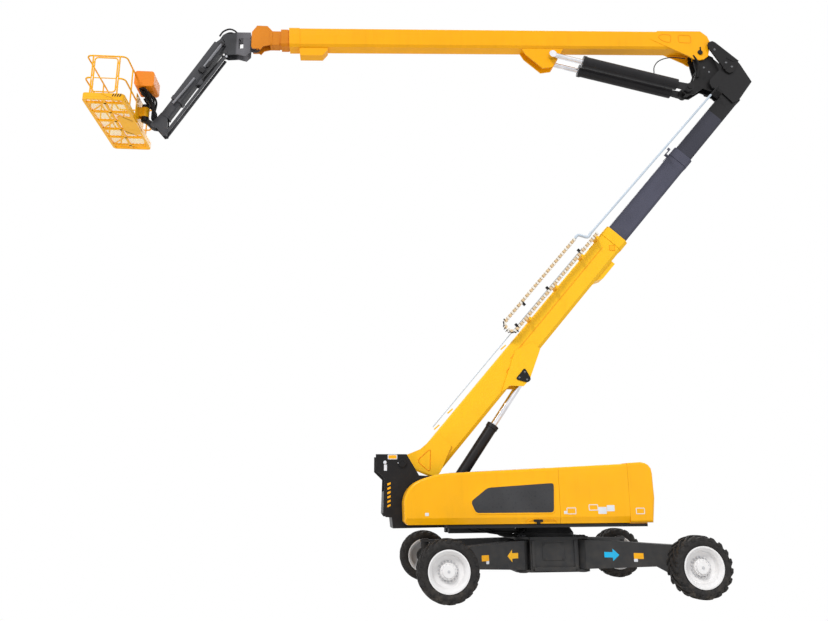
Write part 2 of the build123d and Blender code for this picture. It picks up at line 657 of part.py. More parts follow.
# ---------------------------------------------------------------- upper boom
upper_start = -150.0
upper_mid_end = upper_tip + 200
upper_mid_length = 8900.0
upper_fly_end = upper_tip + 470
upper_fly_length = 8700.0
rear_outline = [(3380, 13330), (3600, 13572), (4760, 13618), (4930, 13480), (5000, 13280), (4900, 12900),
                (4770, 12800), (4634, 12772), (4480, 12810), (4380, 12880)]
rear_plate = 34.0
upper_half = upper_width / 2
twin_lug_in = 96.0             # lugs of the rod eyes, under the boom
twin_lug_out = 130.0
upper_lug_outline = [(-60, 13070), (117, 12760), (540, 12390), (800, 12440), (945, 12690), (1180, 13120)]
hanger_outline = [(-5560, 12703), (-5530, 12480), (-4980, 12500), (-4860, 12660), (-4860, 12732)]
with BuildPart() as upper_base:
    add(boom_tube(upper_side, upper_rise, upper_width, upper_depth, upper_wall, upper_start, upper_tip,
                  grown(boom_section(cross_plane(upper_side, upper_tip, upper_rise),
                                     upper_mid_width, upper_mid_depth), seat), collar_length, None).part)
    for near in (-upper_half - 4, upper_half + 4 - rear_plate):
        add(slab(Plane.XZ, rear_outline, near, near + rear_plate))
    for near in (-twin_lug_out, twin_lug_in):
        add(slab(Plane.XZ, upper_lug_outline, near, near + twin_lug_out - twin_lug_in))
    # box under the mouth
    add(slab(Plane.XZ, hanger_outline, -120, 120))
    # the bore stays clear where the doubled plates pass it
    bore = boom_section(cross_plane(upper_side, 1400, upper_rise), upper_width, upper_depth)
    extrude(grown(bore, -upper_wall), amount=upper_tip - collar_length - 1400, mode=Mode.SUBTRACT)
    # the tail is open below, where the upright comes in between its sides as the boom rises
    add(slab(upper_side, [(upper_start - 1, 120), (upper_start - 1, 480), (upper_start + 80, 440), (110, 200),
                          (110, 120)], -upright_outer - 14, upright_outer + 14), mode=Mode.SUBTRACT)
    add(cross_pin(rod_pin_x, rod_pin_z, 50, twin_lug_out))
    add(cross_pin(upper_pivot_x, upper_pivot_z, 60, upper_half + 4))
save(upper_base, "upper_base")

with BuildPart() as upper_mid:
    add(boom_tube(upper_side, upper_rise, upper_mid_width, upper_mid_depth, 10.0, upper_mid_end - upper_mid_length,
                  upper_mid_end,
                  grown(boom_section(cross_plane(upper_side, upper_mid_end, upper_rise),
                                     upper_fly_width, upper_fly_depth), seat), 180.0,
                  grown(boom_section(cross_plane(upper_side, upper_mid_end - upper_mid_length, upper_rise),
                                     upper_width, upper_depth), -upper_wall - seat)).part)
save(upper_mid, "upper_mid")

fly_nose_outline = [(-6045, 13110), (-6220, 13110), (-6349, 13250), (-6600, 13250), (-6722, 13064), (-6722, 12662),
                    (-6690, 12612), (-6545, 12620), (-6505, 12583), (-6432, 12687), (-6249, 12740), (-6202, 12735),
                    (-6045, 12738)]
nose_x = -6722.0
nose_plate = 26.0
clevis_pin_x = -6600.0         # pin that the jib's clevis is levelled on
clevis_pin_z = 12720.0
clevis_pin_radius = 30.0
with BuildPart() as upper_fly:
    add(boom_tube(upper_side, upper_rise, upper_fly_width, upper_fly_depth, 10.0, upper_fly_end - upper_fly_length,
                  upper_fly_end,
                  grown(boom_section(cross_plane(upper_side, upper_fly_end, upper_rise),
                                     upper_fly_width, upper_fly_depth), -10.0), 60.0,
                  grown(boom_section(cross_plane(upper_side, upper_fly_end - upper_fly_length, upper_rise),
                                     upper_mid_width, upper_mid_depth), -10.0 - seat)).part)
    for near in (-upper_fly_width / 2, upper_fly_width / 2 - nose_plate):
        add(slab(Plane.XZ, fly_nose_outline, near, near + nose_plate))
    add(cross_pin(clevis_pin_x, clevis_pin_z, clevis_pin_radius, upper_fly_width / 2))
save(upper_fly, "upper_fly")

# ---------------------------------------------------------------- twin cylinders under the upper boom
twin_run = hypot(foot_pin_x - rod_pin_x, rod_pin_z - foot_pin_z)
twin_angle = degrees(atan2(rod_pin_z - foot_pin_z, foot_pin_x - rod_pin_x))
twin_side = side_plane(foot_pin_x, foot_pin_z, twin_angle, way=-1)
twin_eye_half = 63.0
with BuildPart() as upper_lift_barrels:
    add(barrel(twin_side, twin_foot, twin_barrel_length, twin_radius, twin_rod_radius, twin_radius - 16,
               twin_spread, 80).part)
    for offset_y in (-twin_spread, twin_spread):
        add(Pos(0, offset_y, 0) * cross_pin(foot_pin_x, foot_pin_z, 104, 50))
        add(slab(twin_side, [(0, -90), (0, 90), (twin_foot + 10, 70), (twin_foot + 10, -70)],
                 offset_y - 42, offset_y + 42))
    add(cross_pin(foot_pin_x, foot_pin_z, 62.8, 400), mode=Mode.SUBTRACT)
save(upper_lift_barrels, "upper_lift_barrels")

with BuildPart() as upper_lift_rods:
    add(rod(twin_side, twin_run - 3140, twin_run - 66, twin_rod_radius, twin_radius - 18, twin_spread).part)
    # closed eyes that lie against the outer faces of the boom's lugs
    for way in (-1, 1):
        add(Pos(0, way * (twin_lug_out + seat + twin_eye_half), 0) * cross_pin(rod_pin_x, rod_pin_z, 92, twin_eye_half))
save(upper_lift_rods, "upper_lift_rods")

# ---------------------------------------------------------------- jib
clevis_in = 100.0
clevis_plate = 26.0
clevis_x = nose_x - 24
ear_in = 64.0
ear_out = upper_fly_width / 2 - nose_plate - move_gap - 2
pin_gap = 0.8
clevis_outline = [(clevis_x, 13045), (-7090, 13033), (-7220, 12990), (-7330, 12995), (-7420, 12940), (-7425, 12850),
                  (-7370, 12780), (-7325, 12640), (-7385, 12500), (-7360, 12430), (-7290, 12405), (-7040, 12430),
                  (-6850, 12385), (clevis_x, 12500)]
clevis_ear = [(-6880, 12650), (-6880, 12860), (-6640, 12815), (-6560, 12790), (-6520, 12720), (-6560, 12650),
              (-6640, 12625)]
jib_pin_x = -7330.0            # rod eye of the jib's cylinder, in the clevis
jib_pin_z = 12480.0
with BuildPart() as jib_clevis:
    for near in (-clevis_in - clevis_plate, clevis_in):
        add(slab(Plane.XZ, clevis_outline, near, near + clevis_plate))
    for near in (-clevis_in - clevis_plate, clevis_in):
        add(slab(Plane.XZ, [(-7030, 12580), (-7030, 12860), (-6920, 12880), (-6910, 12600)], near, near + clevis_plate),
            mode=Mode.SUBTRACT)
    add(slab(Plane.XZ, [(clevis_x, 12610), (clevis_x, 13045), (clevis_x - 24, 13045), (clevis_x - 24, 12610)],
             -clevis_in - clevis_plate, clevis_in + clevis_plate))
    # two ears reach in between the plates of the boom's nose
    for near in (-ear_out, ear_in):
        add(slab(Plane.XZ, clevis_ear, near, near + ear_out - ear_in))
    add(cross_pin(clevis_pin_x, clevis_pin_z, clevis_pin_radius + pin_gap, ear_out + 1), mode=Mode.SUBTRACT)
    add(cross_pin(jib_pivot_x, jib_pivot_z, 40, clevis_in + clevis_plate))
    for way in (-1, 1):
        add(Pos(0, way * (clevis_in + clevis_plate / 2), 0) * cross_pin(jib_pin_x, jib_pin_z, 46, clevis_plate / 2 + 8))
save(jib_clevis, "jib_clevis")

jib_top = 200.0                # outer face of the jib's tube, above its pivot
jib_axis = jib_top - jib_outer_depth / 2
jib_start = 255.0
jib_tail = 560.0
jib_lug_along = 1350.0         # foot pin of the jib's cylinder, under the tube
jib_lug_above = -128.0
head_in = 62.0
head_thick = 26.0
with BuildPart() as jib_outer:
    add(boom_tube(jib_side, jib_axis, jib_outer_width, jib_outer_depth, jib_wall, jib_start, jib_outer_length,
                  grown(boom_section(cross_plane(jib_side, jib_outer_length, jib_axis),
                                     jib_inner_width, jib_inner_depth), seat), 90.0, None).part)
    for near in (-head_in - head_thick, head_in):
        add(slab(jib_side, [(-95, -40), (-80, 60), (0, 95), (jib_start + 10, jib_top - 20),
                            (jib_start + 10, jib_top - jib_outer_depth + 15), (60, -90), (-40, -85)],
                 near, near + head_thick))
        add(slab(jib_side, [(jib_lug_along - 120, -62), (jib_lug_along + 120, -62), (jib_lug_along + 45, jib_lug_above - 45),
                            (jib_lug_along - 45, jib_lug_above - 45)], near, near + head_thick))
    # end wall that the head's plates are welded to
    add(slab(jib_side, [(jib_start, jib_top - 14), (jib_start, jib_top - jib_outer_depth + 10),
                        (jib_start + 14, jib_top - jib_outer_depth + 10), (jib_start + 14, jib_top - 14)], -95, 95))
    add(cross_pin(jib_pivot_x, jib_pivot_z, 66, clevis_in - seat))
    add(cross_pin(jib_pivot_x, jib_pivot_z, 40.8, clevis_in), mode=Mode.SUBTRACT)
    lug_at = jib_side.from_local_coords((jib_lug_along, jib_lug_above, 0))
    add(cross_pin(lug_at.X, lug_at.Z, 22, head_in + head_thick))
save(jib_outer, "jib_outer")

level_in = 64.0
tip_outline = [(2300, 150), (2560, 180), (2840, 220), (2920, 215), (2945, 160), (2900, 60), (2985, -190), (2930, -245),
               (2860, -215), (2560, -20), (2300, -20)]
bar_top = 480.0
with BuildPart() as jib_inner:
    add(boom_tube(jib_side, jib_axis, jib_inner_width, jib_inner_depth, jib_wall, jib_tail, jib_inner_end,
                  grown(boom_section(cross_plane(jib_side, jib_inner_end, jib_axis),
                                     jib_inner_width, jib_inner_depth), -jib_wall), 30.0,
                  grown(boom_section(cross_plane(jib_side, jib_tail, jib_axis),
                                     jib_outer_width, jib_outer_depth), -jib_wall - seat)).part)
    for near in (-jib_inner_width / 2, jib_inner_width / 2 - 30):
        add(slab(jib_side, tip_outline, near, near + 30))
    # bars beside each other under the jib
    for near in (-95, 65):
        add(slab(jib_side, [(bar_top, -262), (bar_top, -205), (2880, -172), (2960, -215), (2920, -235)],
                 near, near + 30))
    add(slab(jib_side, [(2880, -215), (2880, -190), (2940, -190), (2940, -215)], -95, 95))
save(jib_inner, "jib_inner")

# the jib's cylinder
jib_foot = jib_side.from_local_coords((jib_lug_along, jib_lug_above, 0))
jib_cyl_run = hypot(jib_pin_x - jib_foot.X, jib_pin_z - jib_foot.Z)
jib_cyl_angle = degrees(atan2(jib_pin_z - jib_foot.Z, jib_pin_x - jib_foot.X))
jib_cyl_side = side_plane(jib_foot.X, jib_foot.Z, jib_cyl_angle)
with BuildPart() as jib_lift_barrel:
    add(barrel(jib_cyl_side, 34, 885, 44, 24, 36, 0, 30, bottom=30).part)
    add(cross_pin(jib_foot.X, jib_foot.Z, 40, head_in - 1))
    add(cross_pin(jib_foot.X, jib_foot.Z, 22.8, head_in), mode=Mode.SUBTRACT)
save(jib_lift_barrel, "jib_lift_barrel")
with BuildPart() as jib_lift_rod:
    add(rod(jib_cyl_side, 100, jib_cyl_run - 34, 24, 35, 0, piston=25).part)
    add(cross_pin(jib_pin_x, jib_pin_z, 42, 50))
save(jib_lift_rod, "jib_lift_rod")

# ---------------------------------------------------------------- platform
column_radius = 62.0
column_low = 10600.0
column_high = 11010.0
sleeve_low = 10700.0
sleeve_high = 10940.0
with BuildPart() as platform_bracket:
    # arms from the jib's tip to the turning column
    add(slab(Plane.XZ, [(-8850, 10440), (-8830, 10500), (-8900, 10560), (-9040, 10640), (turn_x - 60, 10640),
                        (turn_x - 60, 10600), (turn_x + 20, 10560), (-8960, 10420), (-8890, 10410)],
             -level_in + 1, level_in - 1))
    with BuildSketch(Plane(origin=(turn_x, 0, column_low), z_dir=(0, 0, 1))):
        Circle(column_radius)
    extrude(amount=column_high - column_low)
    with BuildSketch(Plane(origin=(turn_x, 0, sleeve_high + seat), z_dir=(0, 0, 1))):
        Circle(column_radius + 30)
    extrude(amount=column_high - sleeve_high - seat)
    with BuildSketch(Plane(origin=(turn_x, 0, column_low), z_dir=(0, 0, 1))):
        Circle(column_radius + 30)
    extrude(amount=sleeve_low - seat - column_low)
    add(cross_pin(level_pin_x, level_pin_z, 62, jib_inner_width / 2 - 30 - seat))
save(platform_bracket, "platform_bracket")

basket_out = basket_in - basket_deep
basket_mid = (basket_in + basket_out) / 2
floor_top = basket_floor + floor_thick
kick_height = 150.0
sheet = 4.0
with BuildPart() as platform_support:
    with BuildSketch(Plane(origin=(turn_x, 0, sleeve_low), z_dir=(0, 0, 1))):
        Circle(column_radius + 26)
        Circle(column_radius + 0.8, mode=Mode.SUBTRACT)
    extrude(amount=sleeve_high - sleeve_low)
    for near in (-75, 45):
        add(slab(Plane.XZ, [(turn_x - 40, sleeve_low + 5), (turn_x - 40, sleeve_high - 5),
                            (basket_in + seat, sleeve_high - 5), (basket_in + seat, sleeve_low + 5)],
                 near, near + 30))
    # back plate on the basket's frame
    add(Pos(basket_in + seat + 6, 0, (floor_top + 11150) / 2) * Box(12, 700, 11150 - floor_top, mode=Mode.PRIVATE))
    add(Pos(turn_x, 0, (sleeve_low + sleeve_high) / 2) * Cylinder(column_radius + 0.8, 600, mode=Mode.PRIVATE),
        mode=Mode.SUBTRACT)
save(platform_support, "platform_support")

beam = 60.0
with BuildPart() as platform_floor:
    # frame of channels with crossing beams, and the sheet that lies on them
    with BuildSketch(Plane.XY.offset(basket_floor)):
        with Locations((basket_mid, 0)):
            RectangleRounded(basket_deep, 2 * basket_half, 90)
            RectangleRounded(basket_deep - 2 * beam, 2 * basket_half - 2 * beam, 40, mode=Mode.SUBTRACT)
            Rectangle(beam, 2 * basket_half - beam)
        for row in range(5):
            with Locations((basket_mid, (row - 2) * 2 * basket_half / 6)):
                Rectangle(basket_deep - beam, beam * 0.8)
    extrude(amount=floor_thick - sheet)
    with BuildSketch(Plane.XY.offset(floor_top - sheet)):
        with Locations((basket_mid, 0)):
            RectangleRounded(basket_deep, 2 * basket_half, 90)
    extrude(amount=sheet)
    with BuildSketch(Plane.XY.offset(floor_top)):
        with Locations((basket_mid, 0)):
            RectangleRounded(basket_deep, 2 * basket_half, 90)
            RectangleRounded(basket_deep - 6, 2 * basket_half - 6, 87, mode=Mode.SUBTRACT)
    extrude(amount=kick_height - floor_thick)
save(platform_floor, "platform_floor")

rail_inset = rail_radius + 2
rail_in = basket_in - rail_inset
rail_out = basket_out + rail_inset
rail_half = basket_half - rail_inset
rail_top = basket_floor + rail_height
rail_mid = 11000.0
post_foot = floor_top + seat
gate_half = 250.0
gate_post = gate_half + 40
with BuildPart() as platform_rails:
    for level in (rail_top - rail_radius, rail_mid):
        # the loop is open where the gate hangs below the top rail
        with BuildLine(Plane.XY.offset(level)):
            loop = FilletPolyline((rail_in, rail_half), (rail_in, -rail_half), (rail_out, -rail_half),
                                  (rail_out, rail_half), radius=110, close=True)
        with BuildSketch(Plane(origin=loop @ 0, z_dir=loop % 0)):
            Circle(rail_radius)
        sweep()
    # posts: X, Y
    for post_x, post_y in [(rail_in, 700), (rail_in, -700), (rail_out, 700), (rail_out, -700), (rail_out, 0),
                           (basket_mid + gate_post, rail_half), (basket_mid - gate_post, rail_half),
                           (basket_mid + gate_post, -rail_half), (basket_mid - gate_post, -rail_half)]:
        with BuildSketch(Plane(origin=(post_x, post_y, post_foot), z_dir=(0, 0, 1))):
            Circle(rail_radius - 2)
        extrude(amount=rail_top - rail_radius - post_foot)
    add(Pos(basket_mid, -rail_half, rail_mid) * Box(2 * gate_post - 8, 100, 100, mode=Mode.PRIVATE),
        mode=Mode.SUBTRACT)
save(platform_rails, "platform_rails")

gate_radius = 15.0
gate_low = basket_floor + kick_height + 40
gate_top = rail_top - 2 * rail_radius - 26
with BuildPart() as gate:
    with BuildLine(Plane.XZ.offset(rail_half)):
        frame = FilletPolyline((basket_mid + gate_half, gate_top), (basket_mid + gate_half, gate_low),
                               (basket_mid - gate_half, gate_low), (basket_mid - gate_half, gate_top),
                               radius=70, close=True)
    with BuildSketch(Plane(origin=frame @ 0, z_dir=frame % 0)):
        Circle(gate_radius)
    sweep()
    with BuildSketch(Plane(origin=(basket_mid - gate_half, -rail_half, rail_mid), x_dir=(0, 1, 0), z_dir=(1, 0, 0))):
        Circle(gate_radius - 3)
    extrude(amount=2 * gate_half)
    # hinge straps and latch reach the posts
    reach = gate_post - gate_half - (rail_radius - 2) - seat
    for level in (gate_low + 120, rail_mid + 60, gate_top - 120):
        for way in (-1, 1):
            add(Pos(basket_mid + way * (gate_half + (reach - 10) / 2), -rail_half, level) * Box(
                reach + 10, 12, 40, mode=Mode.PRIVATE))
save(gate, "gate")

console_near = -530.0
console_in = -9300.0
console_out = -8850.0
console_mid = 11430.0
with BuildPart() as console:
    with BuildSketch(Plane.XZ):
        with Locations(((console_out + console_in) / 2, console_mid)):
            RectangleRounded(console_out - console_in, 380, 70)
    extrude(amount=-console_near)
    with BuildSketch(Plane.XZ):
        with Locations((rail_in, rail_top - rail_radius)):
            Circle(rail_radius + seat)
    extrude(amount=-console_near, mode=Mode.SUBTRACT)
save(console, "console")

# ---------------------------------------------------------------- hoses along the tower
with BuildPart() as hose_chain:
    with BuildSketch(tower_side.offset(chain_near)):
        with BuildLine():
            Polyline((7050, chain_low - chain_half), (chain_bend, chain_low - chain_half))
            ThreePointArc((chain_bend, chain_low - chain_half),
                          (chain_bend - (chain_high - chain_low) / 2 - chain_half, (chain_low + chain_high) / 2),
                          (chain_bend, chain_high + chain_half))
            Polyline((chain_bend, chain_high + chain_half), (6600, chain_high + chain_half),
                     (6600, chain_high - chain_half), (chain_bend, chain_high - chain_half))
            ThreePointArc((chain_bend, chain_high - chain_half),
                          (chain_bend - (chain_high - chain_low) / 2 + chain_half, (chain_low + chain_high) / 2),
                          (chain_bend, chain_low + chain_half))
            Polyline((chain_bend, chain_low + chain_half), (7050, chain_low + chain_half),
                     (7050, chain_low - chain_half))
        make_face()
    extrude(amount=chain_far - chain_near)
save(hose_chain, "hose_chain")

conduit_y = -390.0
conduit_radius = 26.0
conduit_start = (6785.0, 75.0)     # along and above, of its lower end
conduit_end = (12295.0, -13.0)
bracket_low = fly_depth / 2 - tower_drop - 2
with BuildPart() as hose_conduit:
    low_end = tower_side.from_local_coords((conduit_start[0], conduit_start[1], -conduit_y))
    high_end = tower_side.from_local_coords((conduit_end[0], conduit_end[1], -conduit_y))
    with BuildSketch(Plane(origin=low_end, x_dir=(0, 1, 0), z_dir=high_end - low_end)):
        Circle(conduit_radius)
    extrude(amount=(high_end - low_end).length)
    # bracket from the top of the boom out to the conduit
    add(slab(tower_side, [(12180, fly_depth / 2 - tower_drop + seat), (12250, fly_depth / 2 - tower_drop + seat),
                          (12250, conduit_end[1]), (12180, conduit_end[1])], fly_width / 2 - 60, -conduit_y))
save(hose_conduit, "hose_conduit")
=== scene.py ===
import math

import bmesh
import bpy
import numpy as np
from mathutils import Matrix, Vector
from mathutils.bvhtree import BVHTree


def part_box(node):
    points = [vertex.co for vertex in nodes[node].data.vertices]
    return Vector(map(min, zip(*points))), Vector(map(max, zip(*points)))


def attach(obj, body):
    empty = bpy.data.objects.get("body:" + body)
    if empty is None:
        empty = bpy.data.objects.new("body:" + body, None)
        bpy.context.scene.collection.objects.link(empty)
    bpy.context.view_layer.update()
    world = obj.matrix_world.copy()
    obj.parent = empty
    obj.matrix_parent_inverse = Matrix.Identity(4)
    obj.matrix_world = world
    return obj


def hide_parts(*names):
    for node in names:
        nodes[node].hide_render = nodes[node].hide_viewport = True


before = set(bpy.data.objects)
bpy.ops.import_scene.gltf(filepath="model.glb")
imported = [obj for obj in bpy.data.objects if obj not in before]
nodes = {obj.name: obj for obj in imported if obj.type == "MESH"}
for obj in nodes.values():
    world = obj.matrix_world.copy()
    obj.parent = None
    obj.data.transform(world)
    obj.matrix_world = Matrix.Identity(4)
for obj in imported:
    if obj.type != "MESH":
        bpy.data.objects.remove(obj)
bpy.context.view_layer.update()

# ---------------------------------------------------------------- stage
# A white studio: a level floor with no horizon, soft daylight from above and from the
# viewer's left, and a camera at standing height in front of the platform end.
scene = bpy.context.scene
scene.view_settings.view_transform = "Standard"


def aim(yaw, pitch, roll):
    """Camera axes: right, up and backwards, from a heading off +Y, a rise and a turn about the view line."""
    ahead = np.array([math.sin(yaw) * math.cos(pitch), math.cos(yaw) * math.cos(pitch), math.sin(pitch)])
    right = np.array([math.cos(yaw), -math.sin(yaw), 0.0])
    up = np.cross(right, ahead)
    c, s = math.cos(roll), math.sin(roll)
    return np.array([c * right + s * up, c * up - s * right, -ahead]).T


lens = bpy.data.cameras.new("viewer")
lens.sensor_width = 36.0
lens.lens = 32.73
lens.clip_end = 200.0
viewer = bpy.data.objects.new("viewer", lens)
place = Matrix.Identity(4)
axes = aim(yaw=math.radians(4.968), pitch=math.radians(14.42), roll=math.radians(-0.484))
for row in range(3):
    for column in range(3):
        place[row][column] = axes[row, column]
place.translation = Vector((-4.208, -16.654, 1.763))
viewer.matrix_world = place
scene.collection.objects.link(viewer)
scene.camera = viewer


def rgb(red, green, blue):
    """A screen colour, 0 to 255, as the linear colour that a shader takes."""
    c = np.array([red, green, blue]) / 255.0
    return tuple(np.where(c <= 0.04045, c / 12.92, ((c + 0.055) / 1.055) ** 2.4)) + (1.0,)


def seen_white(tree, shader, into):
    """Shows plain white to the eye, in glass and in gloss, and the given shader to everything else."""
    path = tree.nodes.new("ShaderNodeLightPath")
    white = tree.nodes.new("ShaderNodeEmission")
    white.inputs["Color"].default_value = (1.0, 1.0, 1.0, 1.0)
    seen = path.outputs["Is Camera Ray"]
    for kind in ("Is Transmission Ray", "Is Glossy Ray"):
        either = tree.nodes.new("ShaderNodeMath")
        either.operation = "MAXIMUM"
        tree.links.new(seen, either.inputs[0])
        tree.links.new(path.outputs[kind], either.inputs[1])
        seen = either.outputs[0]
    mixed = tree.nodes.new("ShaderNodeMixShader")
    tree.links.new(seen, mixed.inputs[0])
    tree.links.new(shader, mixed.inputs[1])
    tree.links.new(white.outputs[0], mixed.inputs[2])
    tree.links.new(mixed.outputs[0], into)


sky = bpy.data.worlds.new("daylight")
scene.world = sky
sky.use_nodes = True
sky_tree = sky.node_tree
sky_light = sky_tree.nodes["Background"]
sky_light.inputs["Color"].default_value = (0.93, 0.96, 1.0, 1.0)
sky_light.inputs["Strength"].default_value = 0.62
seen_white(sky_tree, sky_light.outputs[0], sky_tree.nodes["World Output"].inputs["Surface"])

ground = bpy.data.meshes.new("floor")
span = 60.0
ground.from_pydata([(-span, -span, 0), (span, -span, 0), (span, span, 0), (-span, span, 0)], [],
                   [(0, 1, 2, 3)])
floor = bpy.data.objects.new("floor", ground)
scene.collection.objects.link(floor)
floor_paint = bpy.data.materials.new("floor_white")
floor_paint.use_nodes = True
floor_tree = floor_paint.node_tree
floor_shader = floor_tree.nodes["Principled BSDF"]
floor_shader.inputs["Base Color"].default_value = (0.78, 0.78, 0.78, 1.0)
floor_shader.inputs["Roughness"].default_value = 0.9
seen_white(floor_tree, floor_shader.outputs[0], floor_tree.nodes["Material Output"].inputs["Surface"])
ground.materials.append(floor_paint)

# name, strength, softness in degrees, direction that the light comes from
for lamp_name, strength, softness, source in [
    ("key", 1.85, 16.0, (-0.45, -0.75, 0.95)),
    ("fill", 0.42, 60.0, (0.7, -0.8, 0.25)),
    ("back", 0.55, 40.0, (0.3, 0.9, 0.8)),
]:
    sun = bpy.data.lights.new(lamp_name, "SUN")
    sun.energy = strength
    sun.angle = math.radians(softness)
    lamp = bpy.data.objects.new(lamp_name, sun)
    lamp.rotation_euler = Vector(source).to_track_quat("Z", "Y").to_euler()
    scene.collection.objects.link(lamp)


# ---------------------------------------------------------------- wheels
# Four foam-filled rough-terrain tyres on pressed steel rims. Slanted lugs stand on the tread,
# left and right by turns, and the rim is a deep white-painted dish with a ring of wheel nuts.
def surface(grid, around=False, along=False):
    """Faces through an m by n grid of points: u runs over rows and v over columns.
    around joins the last column to the first, along joins the last row to the first."""
    rows, columns = grid.shape[:2]
    i = np.arange(rows if along else rows - 1)[:, None]
    j = np.arange(columns if around else columns - 1)[None, :]
    after_i, after_j = (i + 1) % rows, (j + 1) % columns
    ring = np.broadcast_arrays(i * columns + j, i * columns + after_j, after_i * columns + after_j,
                               after_i * columns + j)
    return grid.reshape(-1, 3), np.stack(ring, -1).reshape(-1, 4)


def copies(patch, moves):
    """The same patch at many places; each move is a 3 by 4 matrix, and point = M * (point, 1)."""
    points, faces = patch
    moves = np.asarray(moves)
    spread = np.einsum("kij,nj->kni", moves[:, :, :3], points) + moves[:, None, :, 3]
    steps = (np.arange(len(moves)) * len(points))[:, None, None]
    return spread.reshape(-1, 3), (faces[None] + steps).reshape(-1, faces.shape[1])


def made(name, patches, material, body, crease=32.0):
    """One object from patches: doubles merged, faces turned outwards, smooth below the crease angle."""
    start, points, faces = 0, [], []
    for patch_points, patch_faces in patches:
        points.append(patch_points)
        faces.append(patch_faces + start)
        start += len(patch_points)
    mesh = bpy.data.meshes.new(name)
    corner_lists = [tuple(face) for group in faces for face in group.tolist()]
    mesh.from_pydata(np.concatenate(points).tolist(), [], corner_lists)
    shell = bmesh.new()
    shell.from_mesh(mesh)
    bmesh.ops.remove_doubles(shell, verts=shell.verts, dist=2e-5)
    bmesh.ops.dissolve_degenerate(shell, dist=1e-6, edges=shell.edges)
    bmesh.ops.recalc_face_normals(shell, faces=shell.faces)
    limit = math.radians(crease)
    for edge in shell.edges:
        edge.smooth = edge.is_manifold and edge.calc_face_angle(0.0) < limit
    for face in shell.faces:
        face.smooth = True
    shell.to_mesh(mesh)
    shell.free()
    piece = bpy.data.objects.new(name, mesh)
    scene.collection.objects.link(piece)
    mesh.materials.append(material)
    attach(piece, body)
    return piece


def turned(profile, centre, axis, steps=48):
    """A profile of (radius, height) pairs turned about an axis: centre + r(cos t, sin t) + h * axis."""
    profile = np.asarray(profile, float)
    axis = np.asarray(axis, float) / np.linalg.norm(axis)
    side = np.cross(axis, [0.0, 0.0, 1.0] if abs(axis[2]) < 0.9 else [1.0, 0.0, 0.0])
    side /= np.linalg.norm(side)
    third = np.cross(axis, side)
    t = np.linspace(0, 2 * math.pi, steps, endpoint=False)
    spoke = np.cos(t)[:, None] * side + np.sin(t)[:, None] * third
    grid = centre + profile[:, 0][:, None, None] * spoke[None] + profile[:, 1][:, None, None] * axis
    return surface(grid, around=True)


# The raised tower: its angle, its pivot, and the directions along it and square to it.
tower_turn = math.radians(49.3)
tower_root = np.array([-3.068, 0.0, 2.597])
run_up = np.array([math.cos(tower_turn), 0.0, math.sin(tower_turn)])
lift_up = np.array([-math.sin(tower_turn), 0.0, math.cos(tower_turn)])


class Shades:
    """Node wiring for one material: a shader, its coordinates, and shorthand for the nodes that feed it."""

    def __init__(self, name, roughness, metallic=0.0):
        self.material = bpy.data.materials.new(name)
        self.material.use_nodes = True
        self.tree = self.material.node_tree
        self.shader = self.tree.nodes["Principled BSDF"]
        self.shader.inputs["Roughness"].default_value = roughness
        self.shader.inputs["Metallic"].default_value = metallic
        self.place = self.tree.nodes.new("ShaderNodeTexCoord").outputs["Object"]

    def noise(self, scale, detail=4.0, stretch=(1.0, 1.0, 1.0)):
        """Cloudy noise over the piece, so many features to the metre, stretched along its axes."""
        mapping = self.tree.nodes.new("ShaderNodeMapping")
        mapping.inputs["Scale"].default_value = stretch
        self.tree.links.new(self.place, mapping.inputs["Vector"])
        texture = self.tree.nodes.new("ShaderNodeTexNoise")
        texture.inputs["Scale"].default_value = scale
        texture.inputs["Detail"].default_value = detail
        self.tree.links.new(mapping.outputs[0], texture.inputs["Vector"])
        return texture.outputs["Fac"]

    def height(self):
        """Height above the ground in metres."""
        split = self.tree.nodes.new("ShaderNodeSeparateXYZ")
        self.tree.links.new(self.place, split.inputs[0])
        return split.outputs["Z"]

    def ramp(self, value, low, high, to_low=0.0, to_high=1.0):
        """The value's range low to high, spread over another range and held at its ends."""
        node = self.tree.nodes.new("ShaderNodeMapRange")
        self.tree.links.new(value, node.inputs["Value"])
        for socket, number in zip(("From Min", "From Max", "To Min", "To Max"),
                                  (low, high, to_low, to_high)):
            node.inputs[socket].default_value = number
        return node.outputs["Result"]

    def along_tower(self, low, high):
        """0 to 1 between two distances along the raised tower, for the black paint of its head."""
        reach = self.tree.nodes.new("ShaderNodeVectorMath")
        reach.operation = "DOT_PRODUCT"
        self.tree.links.new(self.place, reach.inputs[0])
        reach.inputs[1].default_value = tuple(run_up)
        start = tower_root[0] * run_up[0] + tower_root[2] * run_up[2]
        return self.ramp(reach.outputs["Value"], start + low, start + high)

    def times(self, first, second):
        node = self.tree.nodes.new("ShaderNodeMath")
        node.operation = "MULTIPLY"
        for value, socket in zip((first, second), node.inputs):
            if isinstance(value, float):
                socket.default_value = value
            else:
                self.tree.links.new(value, socket)
        return node.outputs[0]

    def mix(self, factor, first, second):
        """Colour between two colours."""
        node = self.tree.nodes.new("ShaderNodeMix")
        node.data_type = "RGBA"
        self.tree.links.new(factor, node.inputs["Factor"])
        for value, index in ((first, 6), (second, 7)):
            if isinstance(value, tuple):
                node.inputs[index].default_value = value
            else:
                self.tree.links.new(value, node.inputs[index])
        return node.outputs[2]

    def colour(self, value):
        self.tree.links.new(value, self.shader.inputs["Base Color"])

    def rough(self, value):
        self.tree.links.new(value, self.shader.inputs["Roughness"])

    def bump(self, value, distance):
        """Relief from a value, its full swing that many metres deep."""
        node = self.tree.nodes.new("ShaderNodeBump")
        node.inputs["Distance"].default_value = distance
        self.tree.links.new(value, node.inputs["Height"])
        self.tree.links.new(node.outputs[0], self.shader.inputs["Normal"])


